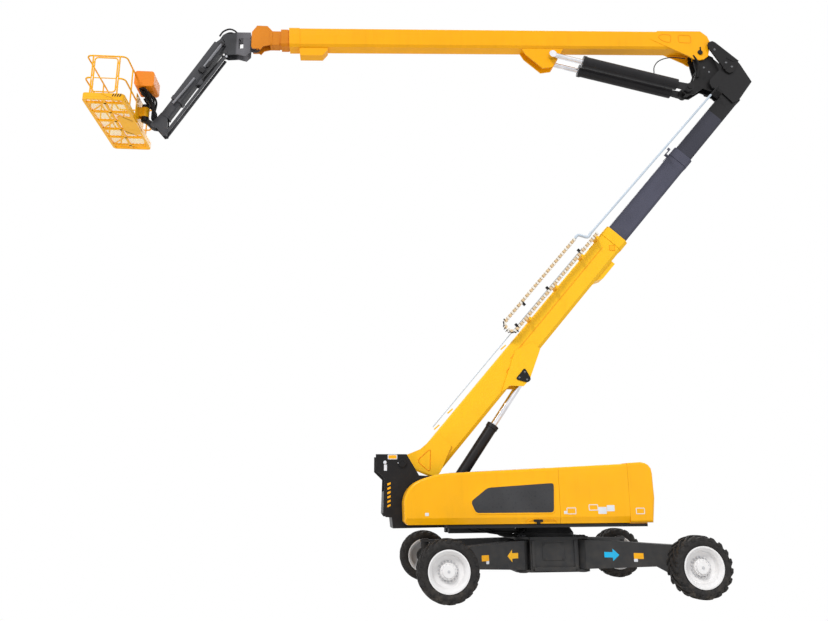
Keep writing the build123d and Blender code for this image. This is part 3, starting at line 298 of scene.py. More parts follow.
def shade(colour, amount):
    """The colour made darker, or lighter where amount is over 1."""
    return tuple(min(1.0, channel * amount) for channel in colour[:3]) + (1.0,)


paint_gloss = 0.14
head_black = rgb(30, 29, 30)


def paint(name, colour, roughness=0.34, coat=0.12, dust=0.14, dust_top=1.8, drift=0.08, peel=0.00005,
          head=None):
    """Sprayed paint on steel: a colour that drifts, orange peel, rain streaks, dust that thins out upwards.
    head is the distance along the tower from which the piece is black."""
    look = Shades(name, roughness)
    look.shader.inputs["Coat Weight"].default_value = coat
    look.shader.inputs["Coat Roughness"].default_value = 0.2
    look.shader.inputs["Specular IOR Level"].default_value = paint_gloss
    drifted = look.mix(look.ramp(look.noise(1.7, 3.0), 0.3, 0.7), shade(colour, 1 - drift),
                       shade(colour, 1 + drift / 2))
    streaks = look.ramp(look.noise(9.0, 3.0, (1.0, 1.0, 0.12)), 0.52, 0.8, 0.0, 0.22)
    streaked = look.mix(streaks, drifted, shade(colour, 0.72))
    film = look.times(look.ramp(look.height(), 0.2, dust_top, dust, 0.01),
                      look.ramp(look.noise(6.0, 6.0), 0.35, 0.7))
    dusty = look.mix(film, streaked, rgb(150, 138, 120))
    if head is not None:
        dusty = look.mix(look.along_tower(head, head + 0.01), dusty, head_black)
    look.colour(dusty)
    look.rough(look.ramp(look.noise(24.0, 5.0), 0.3, 0.75, roughness - 0.06, roughness + 0.12))
    look.bump(look.noise(180.0, 2.0), peel)
    return look.material


def dress(names, material):
    """Gives CAD nodes their finish."""
    for node_name in names:
        mesh = nodes[node_name].data
        mesh.materials.clear()
        mesh.materials.append(material)


to_near, to_far, to_sky, to_ground = (0, -1, 0), (0, 1, 0), (0, 0, 1), (0, 0, -1)
# each corner's name, and its signs along and across the machine
corners = [("near_right", 1, -1), ("near_left", -1, -1), ("far_right", 1, 1), ("far_left", -1, 1)]

rubber = Shades("tyre_rubber", 0.72)
rubber.shader.inputs["Specular IOR Level"].default_value = 0.3
rubber_tone = rubber.mix(rubber.ramp(rubber.noise(14.0, 6.0), 0.35, 0.7), rgb(27, 26, 26), rgb(40, 38, 37))
rubber_dust = rubber.times(rubber.ramp(rubber.height(), 0.0, 0.5, 0.32, 0.04),
                           rubber.ramp(rubber.noise(9.0, 6.0), 0.4, 0.7))
rubber.colour(rubber.mix(rubber_dust, rubber_tone, rgb(120, 108, 94)))
rubber.rough(rubber.ramp(rubber.noise(40.0, 4.0), 0.3, 0.7, 0.6, 0.85))
rubber.bump(rubber.noise(260.0, 3.0), 0.0006)
rubber = rubber.material

rim_paint = paint("rim_paint", rgb(231, 229, 228), roughness=0.5, coat=0.0, dust=0.08, dust_top=1.1,
                  drift=0.05)
nut_steel = paint("wheel_nut_steel", rgb(196, 196, 198), roughness=0.4, coat=0.0, dust=0.1)

lug_count = 19                 # on each side of the tread
lug_height = 0.032
lug_width = 0.052
nut_count = 18
cap_bolt_count = 12


def lug_bar(radius, half, side):
    """One lug, from past the middle of the tread out over the shoulder. Its centre line leans back as it
    comes in: angle = lean * (1 - y / half) ** 1.15, and its section is a trapezium on the casing."""
    y = np.array([-0.18, -0.10, 0.25, 0.62, 0.86, 0.97, 1.0]) * half
    lift = np.array([0.0, 1.0, 1.0, 1.0, 1.0, 0.86, 0.62]) * lug_height
    base = radius - lug_height - np.array([0.004, 0.004, 0.004, 0.006, 0.012, 0.026, 0.05])
    lean = 0.36 * (1 - np.clip(y / half, -0.2, 1)) ** 1.15
    widths = lug_width * np.array([0.8, 0.9, 1.0, 1.08, 1.2, 1.25, 1.25])
    section = np.array([(-0.62, 0.0), (-0.5, 1.0), (0.5, 1.0), (0.62, 0.0)])
    r = base[:, None] + section[:, 1][None] * (lift + 0.004)[:, None]
    angle = lean[:, None] + section[:, 0][None] * widths[:, None] / radius
    grid = np.stack([r * np.sin(angle), np.broadcast_to(side * y[:, None], r.shape), r * np.cos(angle)], -1)
    points, faces = surface(grid, around=True)
    ends = np.array([[0, 1, 2, 3], [24, 25, 26, 27]])
    return points, np.concatenate([faces, ends])


def turns_about_y(angles, centre):
    """3 by 4 matrices that turn a patch about Y and then move it."""
    c, s, o = np.cos(angles), np.sin(angles), np.zeros_like(angles)
    return np.stack([np.stack([c, o, s, o + centre[0]], -1), np.stack([o, o + 1, o, o + centre[1]], -1),
                      np.stack([-s, o, c, o + centre[2]], -1)], 1)


for corner, along, across in corners:
    low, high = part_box("tyre_" + corner)
    centre = np.array((low + high) / 2)
    radius, half = (high.z - low.z) / 2, (high.y - low.y) / 2
    rim_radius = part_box("rim_" + corner)[1].z - centre[2] - 0.012
    tread = radius - lug_height
    bead = rim_radius - 0.010
    # casing: flat tread, rounded shoulders, a bulging wall and a bead with a raised ring
    casing = [(bead, -half + 0.06), (bead + 0.014, -half + 0.035), (rim_radius + 0.02, -half + 0.018),
              (rim_radius + 0.045, -half + 0.010), (rim_radius + 0.075, -half + 0.001),
              (tread - 0.085, -half), (tread - 0.045, -half + 0.008), (tread - 0.012, -half + 0.034),
              (tread, -half + 0.075), (tread + 0.003, 0)]
    casing += [(r, -y) for r, y in reversed(casing[:-1])]
    casing += [casing[0]]
    patches = [turned(casing, centre, to_far, steps=96)]
    step = 2 * math.pi / lug_count
    for side in (-1, 1):
        angles = np.arange(lug_count) * step + (step / 2 if side > 0 else 0.0)
        patches.append(copies(lug_bar(radius, half, side), turns_about_y(angles, centre)))
    tyre = made("tyre_tread_" + corner, patches, rubber, "wheel_" + corner)
    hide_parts("tyre_" + corner)

    # wheel nuts on the disc and bolts round the hub cap
    out = across
    disc = centre[1] + out * 0.045
    nut_shape = [(0.0, 0.0), (0.020, 0.0), (0.020, 0.016), (0.017, 0.020), (0.011, 0.021), (0.010, 0.030),
                 (0.0, 0.032)]
    nut = turned(nut_shape, (0.0, 0.0, 0.178), (0, out, 0), steps=6)
    nut_turns = np.arange(nut_count) * 2 * math.pi / nut_count
    nuts = copies(nut, turns_about_y(nut_turns, (centre[0], disc, centre[2])))
    cap_bolt = turned([(0.0, 0.0), (0.009, 0.0), (0.009, 0.007), (0.006, 0.010), (0.0, 0.010)],
                      (0.0, 0.0, 0.13), (0, out, 0), steps=6)
    cap_turns = np.arange(cap_bolt_count) * 2 * math.pi / cap_bolt_count + 0.2
    cap = copies(cap_bolt, turns_about_y(cap_turns, (centre[0], centre[1] + out * 0.118, centre[2])))
    middle = turned([(0.0, 0.0), (0.026, 0.0), (0.026, 0.010), (0.016, 0.014), (0.0, 0.014)],
                    (centre[0], centre[1] + out * 0.159, centre[2]), (0, out, 0), steps=24)
    made("wheel_nuts_" + corner, [nuts, cap, middle], nut_steel, "wheel_" + corner)
dress(["rim_" + corner for corner, _, _ in corners], rim_paint)

# ---------------------------------------------------------------- chassis and legs
# A welded box of heavy plate carries four folding legs on upright pins. Everything below the
# turntable is sprayed the same dark grey.
chassis_grey = paint("chassis_grey", rgb(56, 56, 57), roughness=0.5, coat=0.0, dust=0.10, dust_top=1.3,
                     drift=0.12)
dress(["chassis_block", "slew_ring", "turntable_deck"], chassis_grey)
bolt_steel = paint("bolt_steel", rgb(120, 120, 122), roughness=0.36, coat=0.0, dust=0.1)


def rounded(width, height, radius, steps=5):
    """Outline of a rounded rectangle about (0, 0): a quarter circle r(cos t, sin t) at each corner."""
    t = np.linspace(0, math.pi / 2, steps)
    ring = radius * np.stack([np.cos(t), np.sin(t)], -1)
    x, y = width / 2 - radius, height / 2 - radius
    quarters = [(x, y, 1, 0), (-x, y, 0, 1), (-x, -y, -1, 0), (x, -y, 0, -1)]
    return np.concatenate([ring @ np.array([[c, s], [-s, c]]) + (px, py) for px, py, c, s in quarters])


def plate(outline, origin, across, upward, thick, edge=0.0):
    """A flat plate: an outline in the plane of two directions, raised along their cross product.
    Its rim is broken by an edge: the last ring is drawn in towards the middle by that much."""
    outline = np.asarray(outline, float)
    across, upward = np.asarray(across, float), np.asarray(upward, float)
    normal = np.cross(across, upward)
    middle = outline.mean(0)
    reach = np.linalg.norm(outline - middle, axis=1, keepdims=True)
    inner = middle + (outline - middle) * (1 - edge / reach)
    rings = [(outline, 0.0), (outline, thick)]
    if edge:
        rings = [(outline, 0.0), (outline, thick - edge), (inner, thick)]
    grid = np.stack([origin + ring[:, :1] * across + ring[:, 1:] * upward + rise * normal
                     for ring, rise in rings])
    points, faces = surface(grid, around=True)
    count = len(outline)
    ends = np.stack([np.arange(count)[::-1], np.arange(count) + (len(rings) - 1) * count])
    return [(points, faces), (points, ends)]


def bolts(places, axis, size):
    """Hexagon heads on washers, all along one axis; size is the head's width across corners."""
    length = 0.32 * size
    head = turned([(0, 0), (0.72 * size, 0), (0.72 * size, 0.07 * size), (0.5 * size, 0.07 * size),
                   (0.5 * size, length), (0.42 * size, length + 0.05 * size), (0, length + 0.05 * size)],
                   (0.0, 0.0, 0.0), axis, steps=6)
    places = np.asarray(places, float)
    moves = np.concatenate([np.broadcast_to(np.eye(3), (len(places), 3, 3)), places[:, :, None]], -1)
    return copies(head, moves)


def softened(points, radius, steps=5):
    """A polygon with round corners: at each a quadratic curve (1-t)^2 A + 2t(1-t) P + t^2 B."""
    points = np.asarray(points, float)
    t = np.linspace(0, 1, steps)[:, None]
    rows = []
    for before, corner, after in zip(np.roll(points, 1, 0), points, np.roll(points, -1, 0)):
        reach = [min(radius, 0.45 * np.linalg.norm(other - corner)) for other in (before, after)]
        a = corner + (before - corner) / np.linalg.norm(before - corner) * reach[0]
        b = corner + (after - corner) / np.linalg.norm(after - corner) * reach[1]
        rows.append((1 - t) ** 2 * a + 2 * t * (1 - t) * corner + t ** 2 * b)
    return np.concatenate(rows)


def inset(outline, amount):
    """The outline moved along the mean of each point's two normals. Anticlockwise outlines shrink."""
    ahead = np.roll(outline, -1, 0) - np.roll(outline, 1, 0)
    ahead /= np.linalg.norm(ahead, axis=1, keepdims=True)
    return outline + amount * np.stack([-ahead[:, 1], ahead[:, 0]], -1)


def bead(outline, origin, across, upward, width, rise):
    """A raised line along a closed outline: a low rounded section, half its width to either side."""
    across, upward = np.asarray(across, float), np.asarray(upward, float)
    normal = np.cross(across, upward)
    rows = [(inset(outline, (share - 0.5) * width), lift * rise)
            for share, lift in ((0.0, -0.2), (0.12, 0.7), (0.35, 1.0), (0.65, 1.0), (0.88, 0.7),
                                (1.0, -0.2))]
    grid = np.stack([origin + ring[:, :1] * across + ring[:, 1:] * upward + lift * normal
                     for ring, lift in rows])
    return surface(grid, around=True)


def tube(points, radius, sides=10, bends=6):
    """A round hose along a smooth curve through the points: Catmull-Rom between them, with closed ends."""
    points = np.asarray(points, float)
    padded = np.concatenate([[2 * points[0] - points[1]], points, [2 * points[-1] - points[-2]]])
    t = np.linspace(0, 1, bends, endpoint=False)[:, None]
    path = []
    for a, b, c, d in zip(padded, padded[1:], padded[2:], padded[3:]):
        curve = 2 * b + (c - a) * t + (2 * a - 5 * b + 4 * c - d) * t ** 2
        path.append(0.5 * (curve + (3 * b - a - 3 * c + d) * t ** 3))
    path = np.concatenate(path + [points[-1:]])
    ahead = np.gradient(path, axis=0)
    ahead /= np.linalg.norm(ahead, axis=1, keepdims=True)
    side = np.cross(ahead, (0.13, 0.97, 0.21))
    side /= np.linalg.norm(side, axis=1, keepdims=True)
    third = np.cross(ahead, side)
    a = np.linspace(0, 2 * math.pi, sides, endpoint=False)
    ring = np.cos(a)[None, :, None] * side[:, None] + np.sin(a)[None, :, None] * third[:, None]
    grid = path[:, None] + radius * ring
    grid = np.concatenate([np.repeat(path[:1, None], sides, 1), grid, np.repeat(path[-1:, None], sides, 1)])
    return surface(grid, around=True)


def box_at(centre, size, turn=0.0):
    """A plain block, turned about Y by an angle."""
    corners = np.array([(x, y, z) for x in (-1, 1) for y in (-1, 1) for z in (-1, 1)]) * np.asarray(size) / 2
    c, s = math.cos(turn), math.sin(turn)
    corners = corners @ np.array([[c, 0, s], [0, 1, 0], [-s, 0, c]]) + centre
    return corners, np.array([(0, 1, 3, 2), (4, 6, 7, 5), (0, 4, 5, 1), (2, 3, 7, 6), (0, 2, 6, 4),
                              (1, 5, 7, 3)])


shells = {}


def meets(node_name, start, toward):
    """Where a line from a point first meets a CAD node: the place, and the face's normal there."""
    if node_name not in shells:
        mesh, world = nodes[node_name].data, nodes[node_name].matrix_world
        points = [world @ v.co for v in mesh.vertices]
        shells[node_name] = BVHTree.FromPolygons(points, [tuple(p.vertices) for p in mesh.polygons])
    spot, normal = shells[node_name].ray_cast(Vector(start), Vector(toward).normalized())[:2]
    return np.array(spot), np.array(normal)


def label(node_name, outline, start, toward, thick=0.0016, upward=(0.0, 0.0, 1.0)):
    """A thin plate that lies on the face which a line from start meets, its upper edge towards upward."""
    spot, normal = meets(node_name, start, toward)
    across = np.cross(upward, normal)
    across /= np.linalg.norm(across)
    return plate(outline, spot, across, np.cross(normal, across), thick)


def ring_of(count, radius, centre, axis):
    """Places evenly round a circle."""
    return turned([(radius, 0.0)], np.asarray(centre, float), axis, steps=count)[0]


side_x, side_z = np.array([1.0, 0.0, 0.0]), np.array([0.0, 0.0, 1.0])

# Centre box: cover plate with its four bolts, ribs at its sides and a lip along the bottom.
low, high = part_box("chassis_block")
face_y = low.y
pieces = plate(rounded(0.46, 0.34, 0.02), (-0.02, face_y, 0.80), side_x, side_z, 0.012, 0.003)
pieces.append(bolts([(x, face_y - 0.012, z) for x in (-0.21, 0.17) for z in (0.665, 0.935)], to_near, 0.034))
for x in (-0.44, 0.44):
    pieces += plate([(-0.03, -0.30), (0.03, -0.30), (0.03, 0.26), (-0.03, 0.26)], (x, face_y, 0.76),
                    side_x, side_z, 0.03, 0.004)
pieces += plate([(-0.42, -0.05), (0.40, -0.05), (0.43, 0.03), (-0.45, 0.03)], (0.0, face_y, 0.475), side_x,
                side_z, 0.055, 0.008)
made("block_front", pieces, chassis_grey, "chassis")

# Pin caps on the legs' hinges, above and below, the upper ones bolted.
hinge_x, hinge_y = 0.62, 0.67
caps, cap_bolts = [], []
for corner, along, across in corners:
    x, y = along * hinge_x, across * hinge_y
    caps.append(turned([(0, 0), (0.098, 0), (0.098, 0.014), (0.09, 0.022), (0.03, 0.022), (0.02, 0.030),
                        (0, 0.030)], (x, y, high.z), to_sky, steps=32))
    caps.append(turned([(0, 0), (0.098, 0), (0.098, 0.010), (0.09, 0.014), (0, 0.014)], (x, y, low.z),
                       to_ground, steps=32))
    cap_bolts.append(bolts(ring_of(6, 0.072, (x, y, high.z + 0.022), to_sky), to_sky, 0.022))
made("leg_pin_caps", caps, chassis_grey, "chassis")
made("leg_pin_bolts", cap_bolts, bolt_steel, "chassis")

# Bolts that hold the slewing bearing.
ring_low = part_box("slew_ring")[0]
made("slew_bolts", [bolts(ring_of(40, 0.612, (0, 0, ring_low.z + 0.060), to_sky), to_sky, 0.026)],
     bolt_steel, "chassis")

arrow_yellow = paint("arrow_yellow", rgb(252, 186, 40), roughness=0.5, coat=0.0, dust=0.12, dust_top=1.4)
arrow_blue = paint("arrow_blue", rgb(28, 182, 232), roughness=0.5, coat=0.0, dust=0.12, dust_top=1.4)
label_yellow = paint("label_yellow", rgb(250, 178, 30), roughness=0.5, coat=0.0, dust=0.1, dust_top=1.4)
label_white = paint("label_white", rgb(224, 226, 230), roughness=0.5, coat=0.0, dust=0.1, dust_top=1.4)
leg_span = 2.160               # from the leg's own pin to its king pin
leg_angle = 35.44              # degrees off the machine's length
arrow_height = 0.745
king_cap_top = [(0, 0), (0.088, 0), (0.088, 0.012), (0.078, 0.020), (0, 0.020)]
king_cap_foot = [(0, 0), (0.088, 0), (0.088, 0.010), (0.078, 0.016), (0, 0.016)]
for corner, along, across in corners:
    dress(["leg_" + corner, "knuckle_" + corner], chassis_grey)
    turn = math.radians(leg_angle)
    out = np.array([along * math.cos(turn), across * math.sin(turn), 0.0])
    # square to the leg, on the side away from the machine
    outer = np.cross(out, to_sky) * (along * -across)
    root = np.array([along * hinge_x, across * hinge_y, 0.0])
    body = "leg_" + corner

    def on_leg(run, height, stand):
        """A place on the leg: so far out from its pin, so high, and so far off its middle plane."""
        return root + run * out + stand * outer + (0, 0, height)

    # king pin caps above and below the fork
    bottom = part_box("leg_" + corner)[0].z
    pieces = [turned(king_cap_top, on_leg(leg_span, 0.95, 0), to_sky, 32),
              turned(king_cap_foot, on_leg(leg_span, bottom, 0), to_ground, 32)]
    made("king_pin_caps_" + corner, pieces, chassis_grey, body)
    if across < 0:
        # a coloured arrow that points away from the machine, and two blank plates beyond it
        arrow = [(0.15 * along, 0.0), (0.02 * along, 0.118), (0.02 * along, 0.052), (-0.15 * along, 0.052),
                 (-0.15 * along, -0.052), (0.02 * along, -0.052), (0.02 * along, -0.118)]
        arrow = arrow if along < 0 else arrow[::-1]
        arrow_run = 0.68 if along > 0 else 0.49
        plate_run = arrow_run + 0.53 if along > 0 else arrow_run + 0.75
        colour = arrow_blue if along > 0 else arrow_yellow
        spot = on_leg(arrow_run, arrow_height, 0.6)
        made("leg_arrow_" + corner, label(body, arrow, spot, -outer), colour, body)
        flat = label(body, rounded(0.19, 0.11, 0.01), on_leg(plate_run, 0.735, 0.6), -outer)
        made("leg_plate_yellow_" + corner, flat, label_yellow, body)
        flat = label(body, rounded(0.075, 0.056, 0.008), on_leg(plate_run - 0.06, 0.652, 0.6), -outer)
        made("leg_plate_white_" + corner, flat, label_white, body)

    king_bolts = bolts(ring_of(6, 0.06, on_leg(leg_span, 0.97, 0), to_sky), to_sky, 0.02)
    made("king_pin_bolts_" + corner, [king_bolts], bolt_steel, body)

# ---------------------------------------------------------------- turntable
# Two upright plates in front carry the tower's foot. Moulded covers close both sides, and one
# casting across the tail balances the booms.
cover_yellow = paint("cover_yellow", rgb(250, 177, 4), roughness=0.34, coat=0.2, dust=0.05, dust_top=1.9,
                     drift=0.05)
knuckle_black = paint("knuckle_black", rgb(29, 28, 29), roughness=0.45, coat=0.05, dust=0.06, dust_top=2.4,
                      drift=0.14)
engine_iron = paint("engine_iron", rgb(90, 92, 94), roughness=0.6, coat=0.0, dust=0.4)
dress(["cover_near_front", "cover_far_front", "cover_near_rear", "cover_far_rear", "counterweight"],
      cover_yellow)
dress(["pedestal", "upright", "link_plate_near", "link_plate_far"], knuckle_black)

# Dark side panel of the near front cover in its raised moulding, and below it the latch under an arch.
panel_smoke = paint("panel_smoke", rgb(58, 58, 60), roughness=0.3, coat=0.2, dust=0.05, drift=0.25)
cover_face = meets("cover_near_front", (-0.9, -3.0, 1.85), to_far)[0][1]
panel = softened([(-1.76, 1.80), (-1.66, 1.575), (-0.07, 1.575), (-0.045, 2.13), (-0.09, 2.155),
                  (-1.41, 2.07)], 0.07)
origin = np.array([0.0, cover_face, 0.0])
made("cover_panel", plate(panel, origin, side_x, side_z, 0.004), panel_smoke, "cover_near_front")
arch = softened([(-0.66, 1.385), (0.00, 1.385), (-0.06, 1.452), (-0.55, 1.452)], 0.05)
made("cover_mouldings", [bead(inset(panel, -0.012), origin, side_x, side_z, 0.034, 0.009),
                         bead(arch, origin, side_x, side_z, 0.014, 0.004)], cover_yellow,
                         "cover_near_front")
latch = plate(rounded(0.19, 0.05, 0.022), (-0.40, cover_face, 1.418), side_x, side_z, 0.014, 0.004)
latch += plate(rounded(0.08, 0.055, 0.02), (-0.40, cover_face, 1.385), side_x, side_z, 0.012, 0.003)
made("cover_latch", latch, knuckle_black, "cover_near_front")

# Blank plates on the near side: node, body, paint, middle X and Z, width and height.
for number, (on, rides, colour, x, z, width, height) in enumerate([
    ("cover_near_front", "cover_near_front", label_white, -2.645, 1.561, 0.075, 0.06),
    ("cover_near_rear", "turntable", label_yellow, 0.288, 1.603, 0.18, 0.115),
    ("cover_near_rear", "turntable", label_white, 0.163, 1.575, 0.056, 0.06),
    ("cover_near_rear", "turntable", label_yellow, 0.748, 1.667, 0.18, 0.105),
    ("cover_near_rear", "turntable", label_white, 0.93, 1.607, 0.175, 0.135),
    ("cover_near_rear", "turntable", label_white, 1.105, 1.65, 0.16, 0.12),
    ("counterweight", "turntable", label_yellow, 1.72, 1.59, 0.17, 0.11),
    ("pedestal", "turntable", label_yellow, -3.289, 2.728, 0.185, 0.085),
    ("pedestal", "turntable", label_white, -3.437, 2.51, 0.06, 0.13),
]):
    made("plate_%d" % number, label(on, rounded(width, height, 0.01), (x, -3.0, z), to_far), colour, rides)
    if colour is label_yellow:
        spot = (x, meets(on, (x, -3.0, z), to_far)[0][1] - 0.001, z)
        rim = [bead(rounded(width, height, 0.01), spot, side_x, side_z, 0.016, 0.003)]
        made("plate_rim_%d" % number, rim, label_white, rides)

# Pedestal: a striped edge, the round cap of the tower's pivot, a lamp and a grease point.
pedestal_y = meets("pedestal", (-3.3, -3.0, 2.3), to_far)[0][1]
pivot_spot = (-3.079, pedestal_y, 2.60)
first_stripe, stripe_step = 1.73, 0.088
dashes = []
for step in range(6):
    z = first_stripe + stripe_step * step
    dashes += plate([(-0.034, -0.030), (0.034, -0.002), (0.034, 0.040), (-0.034, 0.012)],
                    (-3.363, pedestal_y, z), side_x, side_z, 0.002)
made("pedestal_stripes", dashes, label_yellow, "turntable")
cap = [turned([(0, 0), (0.088, 0), (0.088, 0.03), (0.078, 0.04), (0.05, 0.04), (0.046, 0.034), (0, 0.034)],
              pivot_spot, to_near, steps=32)]
cap.append(turned([(0, 0), (0.115, 0), (0.115, 0.006), (0, 0.006)], pivot_spot, to_near, steps=32))
made("pivot_cap", cap, knuckle_black, "turntable")
lamp_shape = [(0, 0), (0.036, 0), (0.036, 0.016), (0.026, 0.026), (0, 0.028)]
grease_point = [(0, 0), (0.012, 0), (0.012, 0.008), (0, 0.012)]
spots = [turned(lamp_shape, (-3.447, pedestal_y, 2.614), to_near, 24),
         turned(grease_point, (-3.173, pedestal_y, 2.603), to_near, 16)]
made("pedestal_lamp", spots, label_white, "turntable")

# Hoses that hang below the deck, from the swivel to the front.
hose_black = paint("hose_black", rgb(26, 26, 27), roughness=0.55, coat=0.0, dust=0.08, dust_top=1.6)
loops = []
for side, drop, reach in [(-0.52, 0.10, 1.55), (-0.46, 0.05, 1.75), (-0.38, 0.13, 1.35),
                          (-0.30, 0.07, 1.65), (0.34, 0.10, 1.5)]:
    loops.append(tube([(-0.50, side * 0.9, 1.235), (-0.72, side, 1.235 - drop),
                       (-1.0, side * 1.1, 1.24 - drop), (-reach + 0.2, side * 1.15, 1.19),
                       (-reach, side * 1.1, 1.27)], 0.017))
made("deck_hoses", loops, hose_black, "turntable")
dress(["engine_block"], engine_iron)

# ---------------------------------------------------------------- booms
# Two telescopic box booms of welded plate, joined at a knuckle with a levelled upright between
# them, and a telescopic jib at the nose. Hydraulic cylinders with bright rods lift all three.
tower_yellow = paint("tower_yellow", rgb(250, 191, 30), roughness=0.36, coat=0.08, dust=0.02, drift=0.04)
boom_yellow = paint("boom_yellow", rgb(248, 172, 6), roughness=0.36, coat=0.08, dust=0.02, drift=0.04)
middle_grey = paint("middle_grey", rgb(74, 74, 88), roughness=0.42, coat=0.1, dust=0.05, drift=0.14)
tower_grey = paint("tower_grey", rgb(56, 56, 66), roughness=0.42, coat=0.1, dust=0.05, drift=0.10,
                   head=11.72)
# a darker orange for the raised stamped outlines: painted shade in their creases
stamp_shade_orange = paint("stamp_shade_orange", rgb(238, 146, 10), roughness=0.4, coat=0.0, dust=0.03, drift=0.05)
boom_orange = paint("boom_orange", rgb(216, 128, 14), roughness=0.45, coat=0.05, dust=0.05, drift=0.10)
jib_grey = paint("jib_grey", rgb(64, 64, 67), roughness=0.42, coat=0.1, dust=0.05, drift=0.10)
barrel_black = paint("barrel_black", rgb(34, 33, 35), roughness=0.42, coat=0.1, dust=0.05, drift=0.10)
chrome = Shades("rod_chrome", 0.14, 1.0)
chrome.colour(chrome.mix(chrome.ramp(chrome.noise(5.0, 3.0), 0.3, 0.7), rgb(205, 205, 210),
                         rgb(232, 232, 236)))
chrome.rough(chrome.ramp(chrome.noise(60.0, 3.0, (1.0, 1.0, 0.1)), 0.3, 0.7, 0.10, 0.24))
chrome = chrome.material
beige_plastic = paint("chain_beige", rgb(222, 192, 148), roughness=0.6, coat=0.0, dust=0.1)
pale_plastic = paint("conduit_pale", rgb(196, 206, 216), roughness=0.5, coat=0.0, dust=0.05, head=11.95)
chain_pale = paint("chain_pale", rgb(234, 226, 212), roughness=0.6, coat=0.0, dust=0.08)
dress(["tower_base"], tower_yellow)
dress(["upper_base"], boom_yellow)
dress(["tower_mid"], middle_grey)
dress(["tower_fly"], tower_grey)
dress(["upper_mid", "upper_fly"], boom_orange)
# Jib clevis: its left part is a darker grey and its right part a paler grey, split near X -7.08. This is
# painted shade on the left and painted light on the right of one casting.
clevis_look = Shades("clevis_shade_and_light", 0.45)
clevis_look.shader.inputs["Specular IOR Level"].default_value = paint_gloss
clevis_split = clevis_look.tree.nodes.new("ShaderNodeSeparateXYZ")
clevis_look.tree.links.new(clevis_look.place, clevis_split.inputs[0])
clevis_lit_side = clevis_look.ramp(clevis_split.outputs["X"], -7.10, -7.06)
clevis_cloud = clevis_look.ramp(clevis_look.noise(3.0, 4.0), 0.3, 0.7)
clevis_shaded_grey = clevis_look.mix(clevis_cloud, rgb(48, 48, 50), rgb(62, 62, 64))
clevis_lit_grey = clevis_look.mix(clevis_cloud, rgb(84, 82, 85), rgb(104, 102, 105))
clevis_look.colour(clevis_look.mix(clevis_lit_side, clevis_shaded_grey, clevis_lit_grey))
clevis_look.rough(clevis_look.ramp(clevis_look.noise(24.0, 5.0), 0.3, 0.75, 0.4, 0.56))
clevis_look.bump(clevis_look.noise(180.0, 2.0), 0.00005)
dress(["jib_clevis"], clevis_look.material)
dress(["jib_outer", "jib_inner"], jib_grey)
dress(["tower_lift_barrel", "upper_lift_barrels", "jib_lift_barrel"], barrel_black)
dress(["tower_lift_rod", "upper_lift_rods", "jib_lift_rod"], chrome)
dress(["hose_conduit"], pale_plastic)


def on_tower(run, lift, side=0.0):
    """A place on the tower: so far along it, so far above its pivot's line, and so far to a side."""
    return tower_root + run * run_up + lift * lift_up + (0.0, side, 0.0)


# Stamped outlines on the tower's side, the crease along it, and the keeper of the lift cylinder's pin. The
# outlines and crease are a darker orange, which is painted shade in their creases.
tower_face = meets("tower_base", on_tower(5.0, -0.45, -2.0), to_far)[0][1]
lug_face = meets("tower_base", (-0.36, -2.0, 4.52), to_far)[0][1]
foot_face = meets("tower_base", (-2.56, -2.0, 2.68), to_far)[0][1]
marks = [bead(softened([(-2.75, 2.66), (-2.47, 2.42), (-2.45, 2.93)], 0.09), (0, foot_face, 0), side_x,
              side_z, 0.02, 0.007)]
crease = np.array([(3.35, -0.360), (6.90, -0.360), (6.90, -0.344), (3.35, -0.344)])
marks.append(bead(softened(crease, 0.008, 3), tower_root + (0, tower_face, 0), run_up, lift_up, 0.012,
                  0.004))
for run, lift in ((3.72, -0.49), (3.19, -0.53)):
    marks.append(bead(rounded(0.30, 0.135, 0.066), on_tower(run, lift, tower_face), run_up, lift_up, 0.018,
                      0.006))
mouth_plate, mouth_spot = rounded(0.13, 0.13, 0.01), (1.93, tower_face, 7.59)
marks.append(bead(mouth_plate, mouth_spot, side_x, side_z, 0.014, 0.003))
made("tower_stampings", marks, stamp_shade_orange, "tower_base")
keeper = softened([(-0.53, 4.44), (-0.25, 4.36), (-0.17, 4.44), (-0.31, 4.70)], 0.06)
made("tower_keeper", plate(keeper, (0, lug_face, 0), side_x, side_z, 0.02, 0.004), knuckle_black,
     "tower_base")
keeper_spots = [(x, lug_face - 0.02, z) for x, z in ((-0.44, 4.475), (-0.27, 4.43), (-0.315, 4.60))]
made("tower_keeper_bolts", [bolts(keeper_spots, to_near, 0.034)], bolt_steel, "tower_base")
made("tower_plate", plate(mouth_plate, mouth_spot, side_x, side_z, 0.0016), label_yellow,
     "tower_base")

# Thin pipe on posts along the tower's upper face.
pipe = [tube([on_tower(run, 0.0, -0.17) for run in (1.05, 2.4, 3.8, 5.2, 6.6)], 0.011, 8, 2)]
made("tower_pipe", pipe, pale_plastic, "tower_base")
posts = [box_at(on_tower(run, -0.068, -0.17), (0.03, 0.03, 0.15), -tower_turn)
         for run in (1.1, 1.566, 3.47, 5.1, 6.55)]
made("tower_pipe_posts", posts, tower_yellow, "tower_base")

# Hose chain: blocks round the loop, beige and pale by turns, on a paler core, with dark bands.
# It runs from its fixed end back down the tower, round a half circle, and up again.
chain_low, chain_high, chain_middle = -0.040, 0.275, 0.1175
chain_start, chain_bend, chain_end = 7.05, 3.950, 6.60
chain_side, link_pitch = -0.395, 0.0785
bend_radius = (chain_high - chain_low) / 2
straight = chain_start - chain_bend
arc = math.pi * bend_radius
top_run = chain_end - chain_bend


def on_chain(s):
    """Place and heading on the loop's middle line, s metres from its fixed end: run, lift and angle."""
    if s < straight:
        return chain_start - s, chain_low, math.pi
    if s < straight + arc:
        turn = (s - straight) / bend_radius
        return (chain_bend - bend_radius * math.sin(turn), chain_low + bend_radius * (1 - math.cos(turn)),
                math.pi - turn)
    return chain_bend + s - straight - arc, chain_high, 0.0


